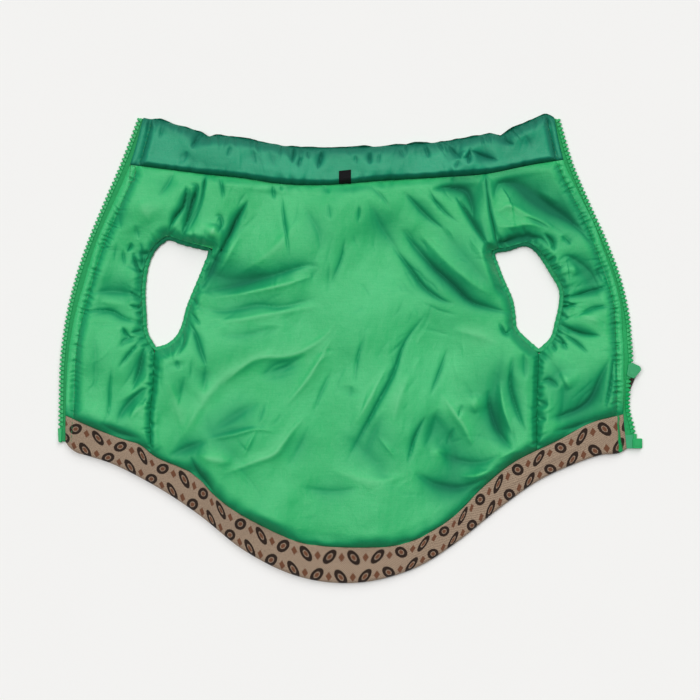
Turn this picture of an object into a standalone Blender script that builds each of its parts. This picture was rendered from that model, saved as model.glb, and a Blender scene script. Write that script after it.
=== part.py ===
"""A padded vest for a small dog, unzipped and laid open flat on its outer cloth, with the satin lining up.

X runs across the vest, Y from the hem towards the collar and Z up from the surface it lies on.
The origin is on that surface, under the middle of the vest. Tables and sizes are in millimetres.
"""

import math
from collections import namedtuple

import bmesh
import bpy
import numpy as np
from mathutils import Euler, Matrix, Vector

MM = 0.001

# ---------------------------------------------------------------- sizes, in millimetres
SEAM_GAP = 0.3
SHELL_THICK = 1.2
LINING_FLOOR = SHELL_THICK + SEAM_GAP
HEM_WRAP = 0.8
BODY_PAD = dict(seam=2.0, full=8.6, roll=15.0)
FRONT_PAD = dict(seam=2.0, full=7.8, roll=13.0)
COLLAR_PAD = dict(seam=2.0, full=9.0, roll=9.0)
FACING_PAD = dict(seam=1.8, full=3.4, roll=4.0)
ARMHOLE_EDGE_WIDE = 2.6
ARMHOLE_EDGE_HIGH = 3.4
GATHER_PITCH = 11.0
GATHER_DEPTH = 0.8
GATHER_REACH = 13.0
ZIP_PUCKER_PITCH = 11.0
ZIP_PUCKER_DEPTH = 0.5
COLLAR_GATHER_PITCH = 11.0
COLLAR_GATHER_DEPTH = 0.7
LABEL_WIDE, LABEL_LONG, LABEL_THICK = 8.6, 9.2, 0.9
LABEL_MIDDLE_X = -3.6

CHAIN_WIDE = 3.1
CHAIN_THICK = 2.4
CHAIN_HEIGHT = 1.7
TAPE_THICK = 0.9
LEFT_CHAIN_ENDS, LEFT_TAPE_ENDS = -56.4, -66.8
RIGHT_CHAIN_ENDS, RIGHT_TAPE_ENDS = -60.3, -71.0

SLIDER_X, SLIDER_Y = 202.0, -15.5
SLIDER_TURN = math.radians(-25)
SLIDER_NOSE_WIDE, SLIDER_SHOULDER_WIDE, SLIDER_TAIL_WIDE = 6.4, 10.2, 5.8
SLIDER_LONG, SLIDER_SHOULDER_BACK = 9.9, 2.0
PLATE_THICK = 1.0
CHANNEL_HIGH = 2.9
HINGE_FORWARD = 0.8
HINGE_HEIGHT = 1.4
HINGE_CLEAR = 0.9
BAIL_WIDE, BAIL_BACK, BAIL_FRONT, BAIL_STRIP = 2.3, 3.2, 2.2, 0.45
PULL_WIDE, PULL_END_WIDE, PULL_LONG, PULL_THICK = 9.8, 11.6, 16.6, 1.2
PULL_BAR_RADIUS, PULL_ARM_GAP, PULL_ARM_LONG = 0.55, 3.0, 4.2

PLATE_UNDERSIDE = HINGE_HEIGHT + HINGE_CLEAR
CHANNEL_FLOOR = PLATE_UNDERSIDE + PLATE_THICK
EDGE_LIFT = CHANNEL_FLOOR + CHANNEL_HIGH / 2 - CHAIN_HEIGHT
LIFT_FLAT, LIFT_ENDS = 12.0, 31.0
LIFT_INWARD = 38.0

BOX_WIDE, BOX_LONG, BOX_THICK = 7.0, 7.1, 3.3
BOX_MIDDLE = (205.6, -67.6)
BOX_NECK_WIDE, BOX_NECK_LONG = 2.7, 4.2
PIN_TOP_WIDE, PIN_END_WIDE, PIN_THICK = 3.2, 2.4, 2.4

# ---------------------------------------------------------------- seams and edges
# Each row is x, y. A third word marks a row where the line turns sharply.
ZIP_EDGE_LEFT = (
    (-147.7, 164.9),
    (-156.7, 133.5),
    (-169.6, 103.5),
    (-181.4, 76.4),
    (-190.6, 46.4),
    (-197.8, 19.3),
    (-201.7, -7.9),
    (-203.1, -37.8),
    (-203.5, -66.4),
)
ZIP_EDGE_RIGHT = (
    (145.7, 165.3),
    (153.2, 133.5),
    (164.4, 109.7),
    (174.4, 89.6),
    (182.5, 67.6),
    (189.5, 47.6),
    (193.5, 31.4),
    (194.9, 9.3),
    (195.4, -16.4),
    (195.2, -37.8),
    (195.6, -50.0),
    (197.8, -71.4),
)
TOOTH_TIPS_LEFT = (
    (-152.6, 164.9),
    (-164.6, 133.5),
    (-176.9, 105.0),
    (-188.7, 76.4),
    (-198.1, 47.8),
    (-204.6, 19.3),
    (-208.1, -9.3),
    (-208.9, -37.8),
    (-209.2, -66.8),
)
TOOTH_TIPS_RIGHT = (
    (151.0, 164.2),
    (160.1, 133.5),
    (172.1, 105.0),
    (185.0, 76.4),
    (195.4, 47.8),
    (201.3, 19.3),
    (202.4, 0.0),
    (202.8, -6.0),
    (202.4, -11.0),
    (201.6, -15.5),
    (201.0, -21.0),
    (200.8, -30.0),
    (200.8, -42.0),
    (204.4, -57.1),
    (205.4, -71.0),
)
NECK_SEAM = (
    (-157.4, 131.8),
    (-101.1, 124.5),
    (-78.5, 122.2),
    (-46.7, 117.6),
    (-14.8, 117.2),
    (21.6, 120.0),
    (64.3, 122.5),
    (96.6, 124.9),
    (128.4, 131.2),
    (152.8, 135.2),
)
COLLAR_TOP = (
    (-148.5, 166.2),
    (-135.7, 163.5),
    (-107.1, 154.6),
    (-101.4, 151.6, "corner"),
    (-96.4, 152.6),
    (-78.5, 150.7),
    (-57.1, 146.7),
    (-35.7, 143.9),
    (0.0, 144.0),
    (35.7, 145.7),
    (64.3, 147.8),
    (85.7, 151.0),
    (102.1, 153.9),
    (107.8, 152.0, "corner"),
    (115.7, 157.1),
    (128.5, 162.8),
    (139.2, 167.4),
    (145.7, 167.0),
)
FACING_TOP = (
    (-203.3, -48.2),
    (-184.9, -55.9),
    (-163.1, -64.5),
    (-150.3, -68.4),
    (-139.4, -77.0),
    (-112.1, -89.5),
    (-97.1, -104.5),
    (-83.0, -115.5),
    (-56.9, -129.6),
    (-35.0, -138.6),
    (0.0, -142.0),
    (35.7, -140.1),
    (51.7, -134.1),
    (74.5, -119.6),
    (93.5, -100.5),
    (116.6, -81.5),
    (149.7, -65.0),
    (172.0, -53.0),
    (195.4, -46.9),
)
HEM = (
    (-203.5, -66.4),
    (-197.8, -72.8),
    (-187.1, -76.4),
    (-169.9, -82.1),
    (-135.7, -100.0),
    (-107.1, -119.2),
    (-78.5, -142.1),
    (-50.0, -157.8),
    (-28.0, -164.8),
    (-3.6, -167.4),
    (21.0, -164.8),
    (50.0, -154.9),
    (78.5, -136.4),
    (107.1, -113.5),
    (135.7, -93.5),
    (164.2, -80.7),
    (180.0, -75.6),
    (191.4, -74.6),
    (197.8, -71.4),
)
SHOULDER_LEFT = ((-102.5, 124.6), (-107.1, 104.2), (-114.2, 90.7), (-118.5, 82.8), (-120.0, 74.6))
SHOULDER_RIGHT = ((96.6, 124.9), (99.2, 102.8), (103.2, 84.0), (106.5, 69.2))
SIDE_LEFT = ((-138.9, 1.4), (-139.9, -7.9), (-140.3, -22.8), (-142.6, -48.0), (-142.1, -75.0))
SIDE_RIGHT = ((135.2, 0.1), (134.2, -22.1), (133.5, -43.6), (133.5, -73.2))
# The armholes run from the shoulder seam's end to the side seam's top.
ARMHOLE_LEFT_FRONT = (
    (-120.0, 74.6),
    (-129.9, 78.5, "corner"),
    (-138.0, 72.0),
    (-143.5, 61.4),
    (-146.2, 44.0),
    (-145.7, 24.3),
    (-144.5, 11.5),
    (-138.9, 1.4),
)
ARMHOLE_LEFT_BACK = (
    (-120.0, 74.6),
    (-101.0, 70.0, "corner"),
    (-107.8, 52.8),
    (-117.1, 30.0),
    (-120.6, 17.0),
    (-124.8, 9.0),
    (-131.5, 3.6),
    (-138.9, 1.4),
)
ARMHOLE_RIGHT_FRONT = (
    (106.5, 69.2),
    (112.8, 70.0),
    (125.7, 73.5),
    (132.5, 69.6),
    (143.5, 53.5),
    (149.6, 42.0),
    (149.5, 32.0),
    (146.7, 19.3),
    (143.6, 8.5),
    (135.2, 0.1),
)
ARMHOLE_RIGHT_BACK = (
    (106.5, 69.2),
    (103.4, 68.2, "corner"),
    (110.0, 50.7),
    (116.7, 35.0),
    (118.6, 24.0),
    (119.8, 15.0),
    (126.0, 8.0),
    (135.2, 0.1),
)

# ---------------------------------------------------------------- the largest folds
# A fold runs from x0, y0 to x1, y1. It rises (or sinks, where negative) and dies away over its reach.
Fold = namedtuple("Fold", "x0 y0 x1 y1 reach rise")
BACK_FOLDS = (
    Fold(-76, 102, -92, 76, 5.0, -4.0),
    Fold(-92, 76, -104, 50, 6.0, -3.5),
    Fold(-96, 124, -112, 88, 4.5, -2.5),
    Fold(-96, 92, -101, 76, 5.0, 2.0),
    Fold(-102, 43, -56, 52, 6.5, -3.0),
    Fold(-56, 52, -26, 57, 6.0, -2.0),
    Fold(-100, 38, -38, 49, 6.0, 1.6),
    Fold(-103, 29, -22, 36, 5.0, -1.8),
    Fold(-103, 20, -20, 30, 6.0, 1.2),
    Fold(-96, 7, -16, 24, 9.0, -1.4),
    Fold(-96, -26, -16, 6, 7.0, 1.4),
    Fold(-74, -40, -66, -56, 6.0, -2.0),
    Fold(-105, -62, -78, -58, 8.0, -2.2),
    Fold(-110, -76, -54, -76, 6.0, 1.6),
    Fold(-108, -84, -92, -98, 7.0, -2.0),
    Fold(-20, 5, -56, -64, 7.0, 1.0),
    Fold(34, 100, 66, 50, 9.0, -2.4),
    Fold(66, 50, 96, 26, 6.0, -2.2),
    Fold(50, 70, 92, 32, 7.0, -3.2),
    Fold(92, 32, 114, 26, 5.0, -3.0),
    Fold(36, 96, 100, 46, 9.0, 1.6),
    Fold(68, 114, 88, 106, 6.0, -3.4),
    Fold(86, 106, 88, 92, 5.0, -3.0),
    Fold(54, 24, 26, -20, 3.5, -1.0),
    Fold(26, -20, -3, -84, 3.5, -1.0),
    Fold(100, -34, 98, -66, 5.0, -2.4),
    Fold(106, -34, 116, -72, 5.0, -2.4),
    Fold(115, 10, 116, -56, 4.0, -1.4),
    Fold(84, -50, 92, -30, 8.0, 1.4),
    Fold(56, -98, 88, -82, 8.0, -2.4),
    Fold(84, -94, 104, -88, 5.0, 1.6),
    Fold(106, 14, 94, -8, 7.0, -1.4),
    Fold(-56, 114, -54, 104, 4.5, -1.8),
)
FRONT_LEFT_FOLDS = (
    Fold(-112, 118, -116, 100, 4.0, -2.6),
    Fold(-116, 100, -121, 84, 3.5, -2.6),
    Fold(-190, 45, -148, 43, 6.5, -1.6),
    Fold(-187, 29, -156, 20, 4.0, -1.6),
    Fold(-147, 2, -150, -14, 5.0, -2.4),
    Fold(-141, -27, -168, -46, 6.0, -2.4),
    Fold(-142, -36, -162, -54, 6.0, 1.6),
    Fold(-170, -10, -173, -48, 4.0, 1.0),
    Fold(-157, 76, -150, 58, 4.0, -1.4),
)
FRONT_RIGHT_FOLDS = (
    Fold(108, 119, 124, 118, 6.0, -2.8),
    Fold(122, 106, 146, 99, 6.5, -3.2),
    Fold(146, 99, 166, 84, 5.5, -3.4),
    Fold(114, 96, 150, 84, 7.0, 1.4),
    Fold(150, 62, 182, 52, 6.0, -1.8),
    Fold(158, 56, 168, 50, 7.0, 1.4),
    Fold(158, 38, 186, 43, 5.0, -2.0),
    Fold(150, 20, 176, 6, 4.5, -2.4),
    Fold(188, 6, 172, -48, 7.0, -2.4),
    Fold(138, -24, 146, -26, 5.0, -2.0),
    Fold(138, -38, 145, -40, 4.0, -1.6),
    Fold(146, -60, 178, -50, 6.0, -1.6),
    Fold(156, -34, 160, -20, 7.0, 1.2),
)
COLLAR_FOLDS = (
    Fold(-116, 150, -118, 138, 5.0, -2.6),
    Fold(-72, 148, -70, 136, 6.0, -1.8),
    Fold(-42, 144, -46, 132, 4.5, -2.2),
    Fold(-22, 142, -26, 128, 4.0, -2.0),
    Fold(78, 140, 100, 136, 5.0, -2.8),
    Fold(80, 146, 76, 128, 4.5, -1.6),
    Fold(66, 146, 60, 138, 5.0, -1.8),
)

# ---------------------------------------------------------------- how finely each piece is laid out
SHOULDER_ROWS, ARMHOLE_ROWS, SIDE_ROWS = 10, 32, 16
BACK_COLUMNS, FRONT_COLUMNS = 30, 11
COLLAR_ROWS, FACING_ROWS = 6, 4
LEAST_STEP, COLLAR_STEP, FACING_STEP = 2.4, 4.8, 8.0
TAPE_SECTIONS = 46
LINE_STEP = 1.0

CLOTHS = {
    "lining_satin": dict(colour=(0.032, 0.43, 0.14), roughness=0.42, metallic=0.0),
    "collar_satin": dict(colour=(0.045, 0.34, 0.19), roughness=0.45, metallic=0.0),
    "canvas": dict(colour=(0.35, 0.26, 0.17), roughness=0.9, metallic=0.0),
    "zip_tape": dict(colour=(0.006, 0.27, 0.09), roughness=0.8, metallic=0.0),
    "zip_plastic": dict(colour=(0.01, 0.42, 0.13), roughness=0.35, metallic=0.0),
    "slider_paint": dict(colour=(0.02, 0.33, 0.15), roughness=0.4, metallic=0.3),
    "pull_leather": dict(colour=(0.045, 0.018, 0.007), roughness=0.6, metallic=0.0),
    "label_ribbon": dict(colour=(0.008, 0.008, 0.009), roughness=0.8, metallic=0.0),
}


# ---------------------------------------------------------------- lines in the plane
def spline(points):
    """A smooth line through the points, with a point about every LINE_STEP."""
    points = np.asarray(points, float)
    ends = 2 * points[[0, -1]] - points[[1, -2]]
    padded = np.vstack([ends[:1], points, ends[1:]])
    line = [points[:1]]
    for before, start, end, after in zip(padded, padded[1:], padded[2:], padded[3:]):
        steps = [np.linalg.norm(b - a) ** 0.5 for a, b in ((before, start), (start, end), (end, after))]
        t0, t1, t2, t3 = np.cumsum([0.0] + steps)
        count = max(2, round(np.linalg.norm(end - start) / LINE_STEP))
        t = np.linspace(t1, t2, count + 1)[1:, None]
        a1 = (t1 - t) / (t1 - t0) * before + (t - t0) / (t1 - t0) * start
        a2 = (t2 - t) / (t2 - t1) * start + (t - t1) / (t2 - t1) * end
        a3 = (t3 - t) / (t3 - t2) * end + (t - t2) / (t3 - t2) * after
        b1 = (t2 - t) / (t2 - t0) * a1 + (t - t0) / (t2 - t0) * a2
        b2 = (t3 - t) / (t3 - t1) * a2 + (t - t1) / (t3 - t1) * a3
        line.append((t2 - t) / (t2 - t1) * b1 + (t - t1) / (t2 - t1) * b2)
    return np.vstack(line)


def edge(table):
    """The line of an edge table, smooth between the rows marked as corners."""
    turns = [i for i, row in enumerate(table) if len(row) > 2]
    places = [row[:2] for row in table]
    stops = [0] + turns + [len(table) - 1]
    stretches = [spline(places[first : last + 1]) for first, last in zip(stops, stops[1:])]
    return joined(*stretches)


def joined(*lines):
    """Lines end to end, each starting where the one before it stops."""
    return np.vstack([lines[0]] + [line[1:] for line in lines[1:]])


def lengths(line):
    return np.concatenate([[0.0], np.cumsum(np.linalg.norm(np.diff(line, axis=0), axis=1))])


def resampled(line, shares):
    """Points of the line at these shares of its length."""
    along = lengths(line)
    wanted = np.asarray(shares) * along[-1]
    return np.stack([np.interp(wanted, along, line[:, k]) for k in range(line.shape[1])], axis=1)


def split(line, place):
    """The line's two parts, up to and from its point nearest to the place."""
    nearest = int(np.argmin(np.linalg.norm(line - np.asarray(place, float), axis=1)))
    nearest = min(max(nearest, 1), len(line) - 2)
    return line[: nearest + 1], line[nearest:]


def distance(places, line):
    """How far each place is from the line."""
    a, b = line[:-1], line[1:]
    flat = places.reshape(-1, 1, 2)
    along = np.clip(((flat - a) * (b - a)).sum(-1) / np.maximum(((b - a) ** 2).sum(-1), 1e-9), 0, 1)
    return np.linalg.norm(flat - a - along[..., None] * (b - a), axis=-1).min(axis=1).reshape(places.shape[:-1])


def nearest_length(places, line):
    """The length along the line of its point nearest to each place."""
    index = np.linalg.norm(places.reshape(-1, 1, 2) - line, axis=-1).argmin(axis=1)
    return lengths(line)[index].reshape(places.shape[:-1])


def inset(loop, gaps):
    """A closed clockwise loop moved inwards, with the gap of each side given at the point that it starts from."""
    ahead = np.roll(loop, -1, axis=0) - loop
    ahead /= np.maximum(np.linalg.norm(ahead, axis=1, keepdims=True), 1e-9)
    after = np.stack([ahead[:, 1], -ahead[:, 0]], axis=1)
    before = np.roll(after, 1, axis=0)
    gap_after = np.asarray(gaps, float)
    gap_before = np.roll(gap_after, 1)
    moved = loop.copy()
    for i, (n, m, g, h) in enumerate(zip(before, after, gap_before, gap_after)):
        cross = n[0] * m[1] - n[1] * m[0]
        if abs(cross) > 0.3:
            moved[i] += np.array([g * m[1] - h * n[1], h * n[0] - g * m[0]]) / cross
        else:
            moved[i] += max(g, h) * (n + m) / np.linalg.norm(n + m)
    return moved


def spaced(line, most):
    """The line with its shortest steps joined and its longest ones shared out, so that none is over most."""
    kept = [line[0]]
    for point in line[1:-1]:
        if np.linalg.norm(point - kept[-1]) >= LEAST_STEP:
            kept.append(point)
    kept.append(line[-1])
    parts = [
        np.linspace(start, end, max(1, math.ceil(np.linalg.norm(end - start) / most)) + 1)
        for start, end in zip(kept, kept[1:])
    ]
    return joined(*parts)


def offset(line, gap):
    """An open line moved to its right by the gap, or to its left where negative."""
    ahead = np.gradient(line, axis=0)
    ahead /= np.linalg.norm(ahead, axis=1, keepdims=True)
    return line + gap * np.stack([ahead[:, 1], -ahead[:, 0]], axis=1)


# ---------------------------------------------------------------- patches between four edges
def fine_both(count):
    """Shares from 0 to 1, closer together at both ends."""
    return 0.5 - 0.5 * np.cos(np.linspace(0, np.pi, count + 1))


def fine_start(count):
    return 1 - np.cos(np.linspace(0, np.pi / 2, count + 1))


def fine_end(count):
    return np.sin(np.linspace(0, np.pi / 2, count + 1))


def even(count):
    return np.linspace(0, 1, count + 1)


def stations(stretches, shares):
    """The points of an edge made of stretches, each with its own rows."""
    return joined(*[resampled(line, share) for line, share in zip(stretches, shares)])


def patch(top, bottom, left, right, gaps):
    """The grid of points between four edges, [row, column], once they are moved in by their gaps.

    The top and bottom run from left to right, the left and right from the top down. Each gap is one number,
    or one for each point of its edge.
    """
    rows, columns = len(left), len(top)
    loop = np.vstack([top[:-1], right[:-1], bottom[:0:-1], left[:0:-1]])
    sizes = (columns - 1, rows - 1, columns - 1, rows - 1)
    loop_gaps = np.concatenate([np.broadcast_to(gap, size) for gap, size in zip(gaps, sizes)])
    loop = inset(loop, loop_gaps)
    corners = np.cumsum((0,) + sizes)
    top = loop[: corners[1] + 1]
    right = loop[corners[1] : corners[2] + 1]
    bottom = loop[corners[2] : corners[3] + 1][::-1]
    left = np.vstack([loop[corners[3] :], loop[:1]])[::-1]
    u = ((lengths(top) / lengths(top)[-1] + lengths(bottom) / lengths(bottom)[-1]) / 2)[None, :, None]
    v = ((lengths(left) / lengths(left)[-1] + lengths(right) / lengths(right)[-1]) / 2)[:, None, None]
    between_ends = (1 - v) * top[None] + v * bottom[None]
    between_sides = (1 - u) * left[:, None] + u * right[:, None]
    twisted = (1 - v) * ((1 - u) * top[0] + u * top[-1]) + v * ((1 - u) * bottom[0] + u * bottom[-1])
    return between_ends + between_sides - twisted


def boundary(grid):
    """The closed outline of a grid, clockwise from its first entry."""
    return np.concatenate([grid[0, :-1], grid[:-1, -1], grid[-1, :0:-1], grid[:0:-1, 0]])


# ---------------------------------------------------------------- heights of the padded cloth
def fall(far, flat, ends):
    """1 up to flat, 0 from ends on, and smooth between."""
    share = np.clip((far - flat) / (ends - flat), 0, 1)
    return 0.5 + 0.5 * np.cos(np.pi * share)


def lift(places):
    """How far the right-hand zip edge stands up over the slider's lower plate and pull tab."""
    along = fall(np.abs(places[..., 1] - SLIDER_Y), LIFT_FLAT, LIFT_ENDS)
    edge_x = np.interp(-places[..., 1], [-y for _, y in ZIP_EDGE_RIGHT], [x for x, _ in ZIP_EDGE_RIGHT])
    across = fall(edge_x - places[..., 0], 0.0, LIFT_INWARD)
    return EDGE_LIFT * along * across


def fold_height(places, folds):
    total = np.zeros(places.shape[:-1])
    for fold in folds:
        line = np.array([[fold.x0, fold.y0], [fold.x1, fold.y1]], float)
        total += fold.rise * np.exp(-((distance(places, line) / fold.reach) ** 2))
    return total


def gathers(places, line, pitch, depth, reach):
    """Uneven waves that run out from a gathered edge and die away."""
    along = nearest_length(places, line)
    uneven = along + 0.35 * pitch * np.sin(along / (2.3 * pitch))
    return depth * np.cos(2 * np.pi * uneven / pitch) * np.exp(-distance(places, line) / reach)


def pad_height(places, outline, pad, folds, gathered):
    """The thickness of padded cloth: pinched at its seams, rolled up from them, then folded and gathered."""
    closed_outline = np.vstack([outline, outline[:1]])
    inward = np.clip(distance(places, closed_outline) / pad["roll"], 0, 1)
    roll = np.sqrt(1 - (1 - inward) ** 2)
    waves = sum(gathers(places, *row) for row in gathered)
    puff = (pad["full"] - pad["seam"] + fold_height(places, folds) + waves) * roll
    return pad["seam"] + np.maximum(puff, 0.0)


# ---------------------------------------------------------------- meshes
def material(slot):
    found = bpy.data.materials.get(slot)
    if found:
        return found
    made = bpy.data.materials.new(slot)
    made.use_nodes = True
    shader = made.node_tree.nodes["Principled BSDF"]
    shader.inputs["Base Color"].default_value = (*CLOTHS[slot]["colour"], 1.0)
    shader.inputs["Roughness"].default_value = CLOTHS[slot]["roughness"]
    shader.inputs["Metallic"].default_value = CLOTHS[slot]["metallic"]
    made.diffuse_color = shader.inputs["Base Color"].default_value
    return made


def new_object(name, mesh, slot, collection):
    mesh.materials.append(material(slot))
    made = bpy.data.objects.new(name, mesh)
    collection.objects.link(made)
    return made


def mesh_object(name, points, faces, slot, collection):
    """A mesh from points in millimetres, with its normals facing out."""
    mesh = bpy.data.meshes.new(name)
    mesh.from_pydata([tuple(point) for point in np.asarray(points) * MM], [], [tuple(face) for face in faces])
    shape = bmesh.new()
    shape.from_mesh(mesh)
    bmesh.ops.recalc_face_normals(shape, faces=shape.faces)
    shape.to_mesh(mesh)
    shape.free()
    mesh.shade_smooth()
    mesh.set_sharp_from_angle(angle=math.radians(50))
    return new_object(name, mesh, slot, collection)


def panel_side(grid, heights, first):
    """One side of a panel: points, faces and rim. Where rows of the grid are level, one face stands for them all."""
    raised = np.flatnonzero((heights > heights.min() + 1e-6).any(axis=1))
    top, bottom = (max(raised[0] - 1, 0), min(raised[-1] + 1, len(grid) - 1)) if len(raised) else (0, 0)
    used = np.zeros(heights.shape, bool)
    used[[0, -1]] = used[:, [0, -1]] = used[top : bottom + 1] = True
    number = np.full(heights.shape, -1)
    number[used] = first + np.arange(used.sum())
    quads = number[top : bottom + 1]
    corners = (quads[:-1, :-1], quads[:-1, 1:], quads[1:, 1:], quads[1:, :-1])
    faces = np.stack([corner.ravel() for corner in corners], axis=1).tolist()
    for level in (number[: top + 1], number[bottom:]):
        if len(level) > 1:
            faces.append(boundary(level).tolist())
    return np.dstack([grid, heights])[used], faces, boundary(number)


def panel(name, grid, top, bottom, slot, collection):
    """A panel over the grid, from its bottom heights to its top ones."""
    upper, faces, rim = panel_side(grid, top, 0)
    bottom = np.broadcast_to(bottom, grid.shape[:2])
    lower, lower_faces, lower_rim = panel_side(grid, bottom, len(upper))
    ring = zip(rim, np.roll(rim, -1), np.roll(lower_rim, -1), lower_rim)
    faces += lower_faces + [list(quad) for quad in ring]
    return mesh_object(name, np.vstack([upper, lower]), faces, slot, collection)


def flat_panel(name, outline, low, high, slot, collection):
    """A flat piece of cloth: the filled curve of its outline, given its thickness."""
    curve = bpy.data.curves.new(name, "CURVE")
    curve.dimensions = "2D"
    curve.fill_mode = "BOTH"
    curve.extrude = (high - low) / 2 * MM
    line = curve.splines.new("POLY")
    line.points.add(len(outline) - 1)
    for point, (x, y) in zip(line.points, outline):
        point.co = (x * MM, y * MM, 0.0, 1.0)
    line.use_cyclic_u = True
    made = new_object(name, curve, slot, collection)
    made.location.z = (low + high) / 2 * MM
    return made


def loft(name, sections, slot, collection, closed=False):
    """A wall through sections of equal count, [section, point, xyz], open with end caps or closed on itself."""
    count, around = sections.shape[:2]
    number = np.arange(count * around).reshape(count, around)
    ahead = np.roll(number, -1, axis=0) if closed else number[1:]
    here = number if closed else number[:-1]
    faces = np.stack([here, np.roll(here, -1, 1), np.roll(ahead, -1, 1), ahead], axis=-1).reshape(-1, 4).tolist()
    if not closed:
        faces += [number[0].tolist(), number[-1].tolist()]
    return mesh_object(name, sections.reshape(-1, 3), faces, slot, collection)


def strip_sections(inner, outer, middle, sides):
    """Sections between two lines. Each of the sides is a share of the way across and a height over the middle."""
    points = [np.column_stack([inner + share * (outer - inner), middle + high]) for share, high in sides]
    return np.stack(points, axis=1)


def block(name, size, middle, collection, slot, bevel=0.0):
    """A box of this size about its middle, both in millimetres."""
    shape = bmesh.new()
    bmesh.ops.create_cube(shape, size=1.0)
    bmesh.ops.scale(shape, vec=Vector(size) * MM, verts=shape.verts)
    bmesh.ops.translate(shape, vec=Vector(middle) * MM, verts=shape.verts)
    mesh = bpy.data.meshes.new(name)
    shape.to_mesh(mesh)
    shape.free()
    made = new_object(name, mesh, slot, collection)
    if bevel:
        rounding = made.modifiers.new("edges", "BEVEL")
        rounding.width = bevel * MM
        rounding.segments = 2
    return made


def bar(name, radius, length, middle, collection, slot):
    """A round bar along X."""
    shape = bmesh.new()
    turn = Matrix.Rotation(math.pi / 2, 4, "Y")
    bmesh.ops.create_cone(
        shape, cap_ends=True, segments=16, radius1=radius * MM, radius2=radius * MM, depth=length * MM, matrix=turn
    )
    bmesh.ops.translate(shape, vec=Vector(middle) * MM, verts=shape.verts)
    mesh = bpy.data.meshes.new(name)
    shape.to_mesh(mesh)
    shape.free()
    return new_object(name, mesh, slot, collection)


def plate(name, widths, low, high, collection, slot):
    """A flat plate symmetrical about Y. Each row of the widths is a place along Y and the width there."""
    right = [(wide / 2, y) for y, wide in widths]
    outline = right + [(-x, y) for x, y in reversed(right)]
    count = len(outline)
    points = [(x, y, z) for z in (low, high) for x, y in outline]
    sides = [(i, (i + 1) % count, (i + 1) % count + count, i + count) for i in range(count)]
    faces = [tuple(range(count)), tuple(range(count, 2 * count))] + sides
    return mesh_object(name, points, faces, slot, collection)


def combine(target, tools, operation):
    for tool in tools:
        cut = target.modifiers.new(tool.name, "BOOLEAN")
        cut.operation = operation
        cut.object = tool
        cut.solver = "EXACT"
        tool.hide_render = True
        tool.display_type = "WIRE"
        tool.parent = target


# ---------------------------------------------------------------- the lines that the pieces share
def snap(line, first=None, last=None):
    """The line with its ends moved onto the points that it meets."""
    line = line.copy()
    if first is not None:
        line[0] = first
    if last is not None:
        line[-1] = last
    return line


def between(first, table, last):
    """The line of an edge table whose end rows are moved onto the points that it meets."""
    return edge((tuple(first),) + table[1:-1] + (tuple(last),))


def garment_lines():
    """Every seam and edge as a dense line, cut where pieces meet."""
    zip_left, zip_right = edge(ZIP_EDGE_LEFT), edge(ZIP_EDGE_RIGHT)
    lines = {"zip_left_full": zip_left, "zip_right_full": zip_right}
    lines["collar_end_left"], body_left = split(zip_left, NECK_SEAM[0])
    lines["zip_left"], lines["hem_end_left"] = split(body_left, FACING_TOP[0])
    lines["collar_end_right"], body_right = split(zip_right, NECK_SEAM[-1])
    lines["zip_right"], lines["hem_end_right"] = split(body_right, FACING_TOP[-1])
    lines["collar_top"] = between(zip_left[0], COLLAR_TOP, zip_right[0])
    lines["hem"] = between(zip_left[-1], HEM, zip_right[-1])
    lines["neck"] = between(body_left[0], NECK_SEAM, body_right[0])
    facing = between(lines["hem_end_left"][0], FACING_TOP, lines["hem_end_right"][0])
    lines["neck_left"], rest = split(lines["neck"], SHOULDER_LEFT[0])
    lines["neck_back"], lines["neck_right"] = split(rest, SHOULDER_RIGHT[0])
    lines["facing_left"], rest = split(facing, SIDE_LEFT[-1])
    lines["facing_back"], lines["facing_right"] = split(rest, SIDE_RIGHT[-1])
    neck_back, facing_back = lines["neck_back"], lines["facing_back"]
    lines["shoulder_left"] = between(neck_back[0], SHOULDER_LEFT, SHOULDER_LEFT[-1])
    lines["shoulder_right"] = between(neck_back[-1], SHOULDER_RIGHT, SHOULDER_RIGHT[-1])
    lines["side_left"] = between(SIDE_LEFT[0], SIDE_LEFT, facing_back[0])
    lines["side_right"] = between(SIDE_RIGHT[0], SIDE_RIGHT, facing_back[-1])
    lines["armhole_left_front"] = edge(ARMHOLE_LEFT_FRONT)
    lines["armhole_left_back"] = edge(ARMHOLE_LEFT_BACK)
    lines["armhole_right_front"] = edge(ARMHOLE_RIGHT_FRONT)
    lines["armhole_right_back"] = edge(ARMHOLE_RIGHT_BACK)
    return lines


ROW_SHARES = (fine_start(SHOULDER_ROWS), even(ARMHOLE_ROWS), fine_end(SIDE_ROWS))
ROW_COUNTS = (SHOULDER_ROWS, ARMHOLE_ROWS, SIDE_ROWS)
# The zip edge faces the shoulder, armhole and side rows over these shares of its length.
ZIP_SHARES_LEFT = (0.0, 0.22, 0.72, 1.0)
ZIP_SHARES_RIGHT = (0.0, 0.25, 0.72, 1.0)


def inner_gaps():
    """The gap of each row on the edge that has the shoulder, armhole and side seam."""
    beside_armhole = ARMHOLE_EDGE_WIDE + SEAM_GAP
    return np.repeat([SEAM_GAP / 2, beside_armhole, SEAM_GAP / 2], ROW_COUNTS)


def inner_edge(lines, side, panel):
    stretches = (lines["shoulder_" + side], lines[f"armhole_{side}_{panel}"], lines["side_" + side])
    return stations(stretches, ROW_SHARES)


def zip_edge_stations(line, shares):
    parts = [lo + share * (hi - lo) for lo, hi, share in zip(shares, shares[1:], ROW_SHARES)]
    return resampled(line, np.concatenate([parts[0]] + [part[1:] for part in parts[1:]]))


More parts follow.
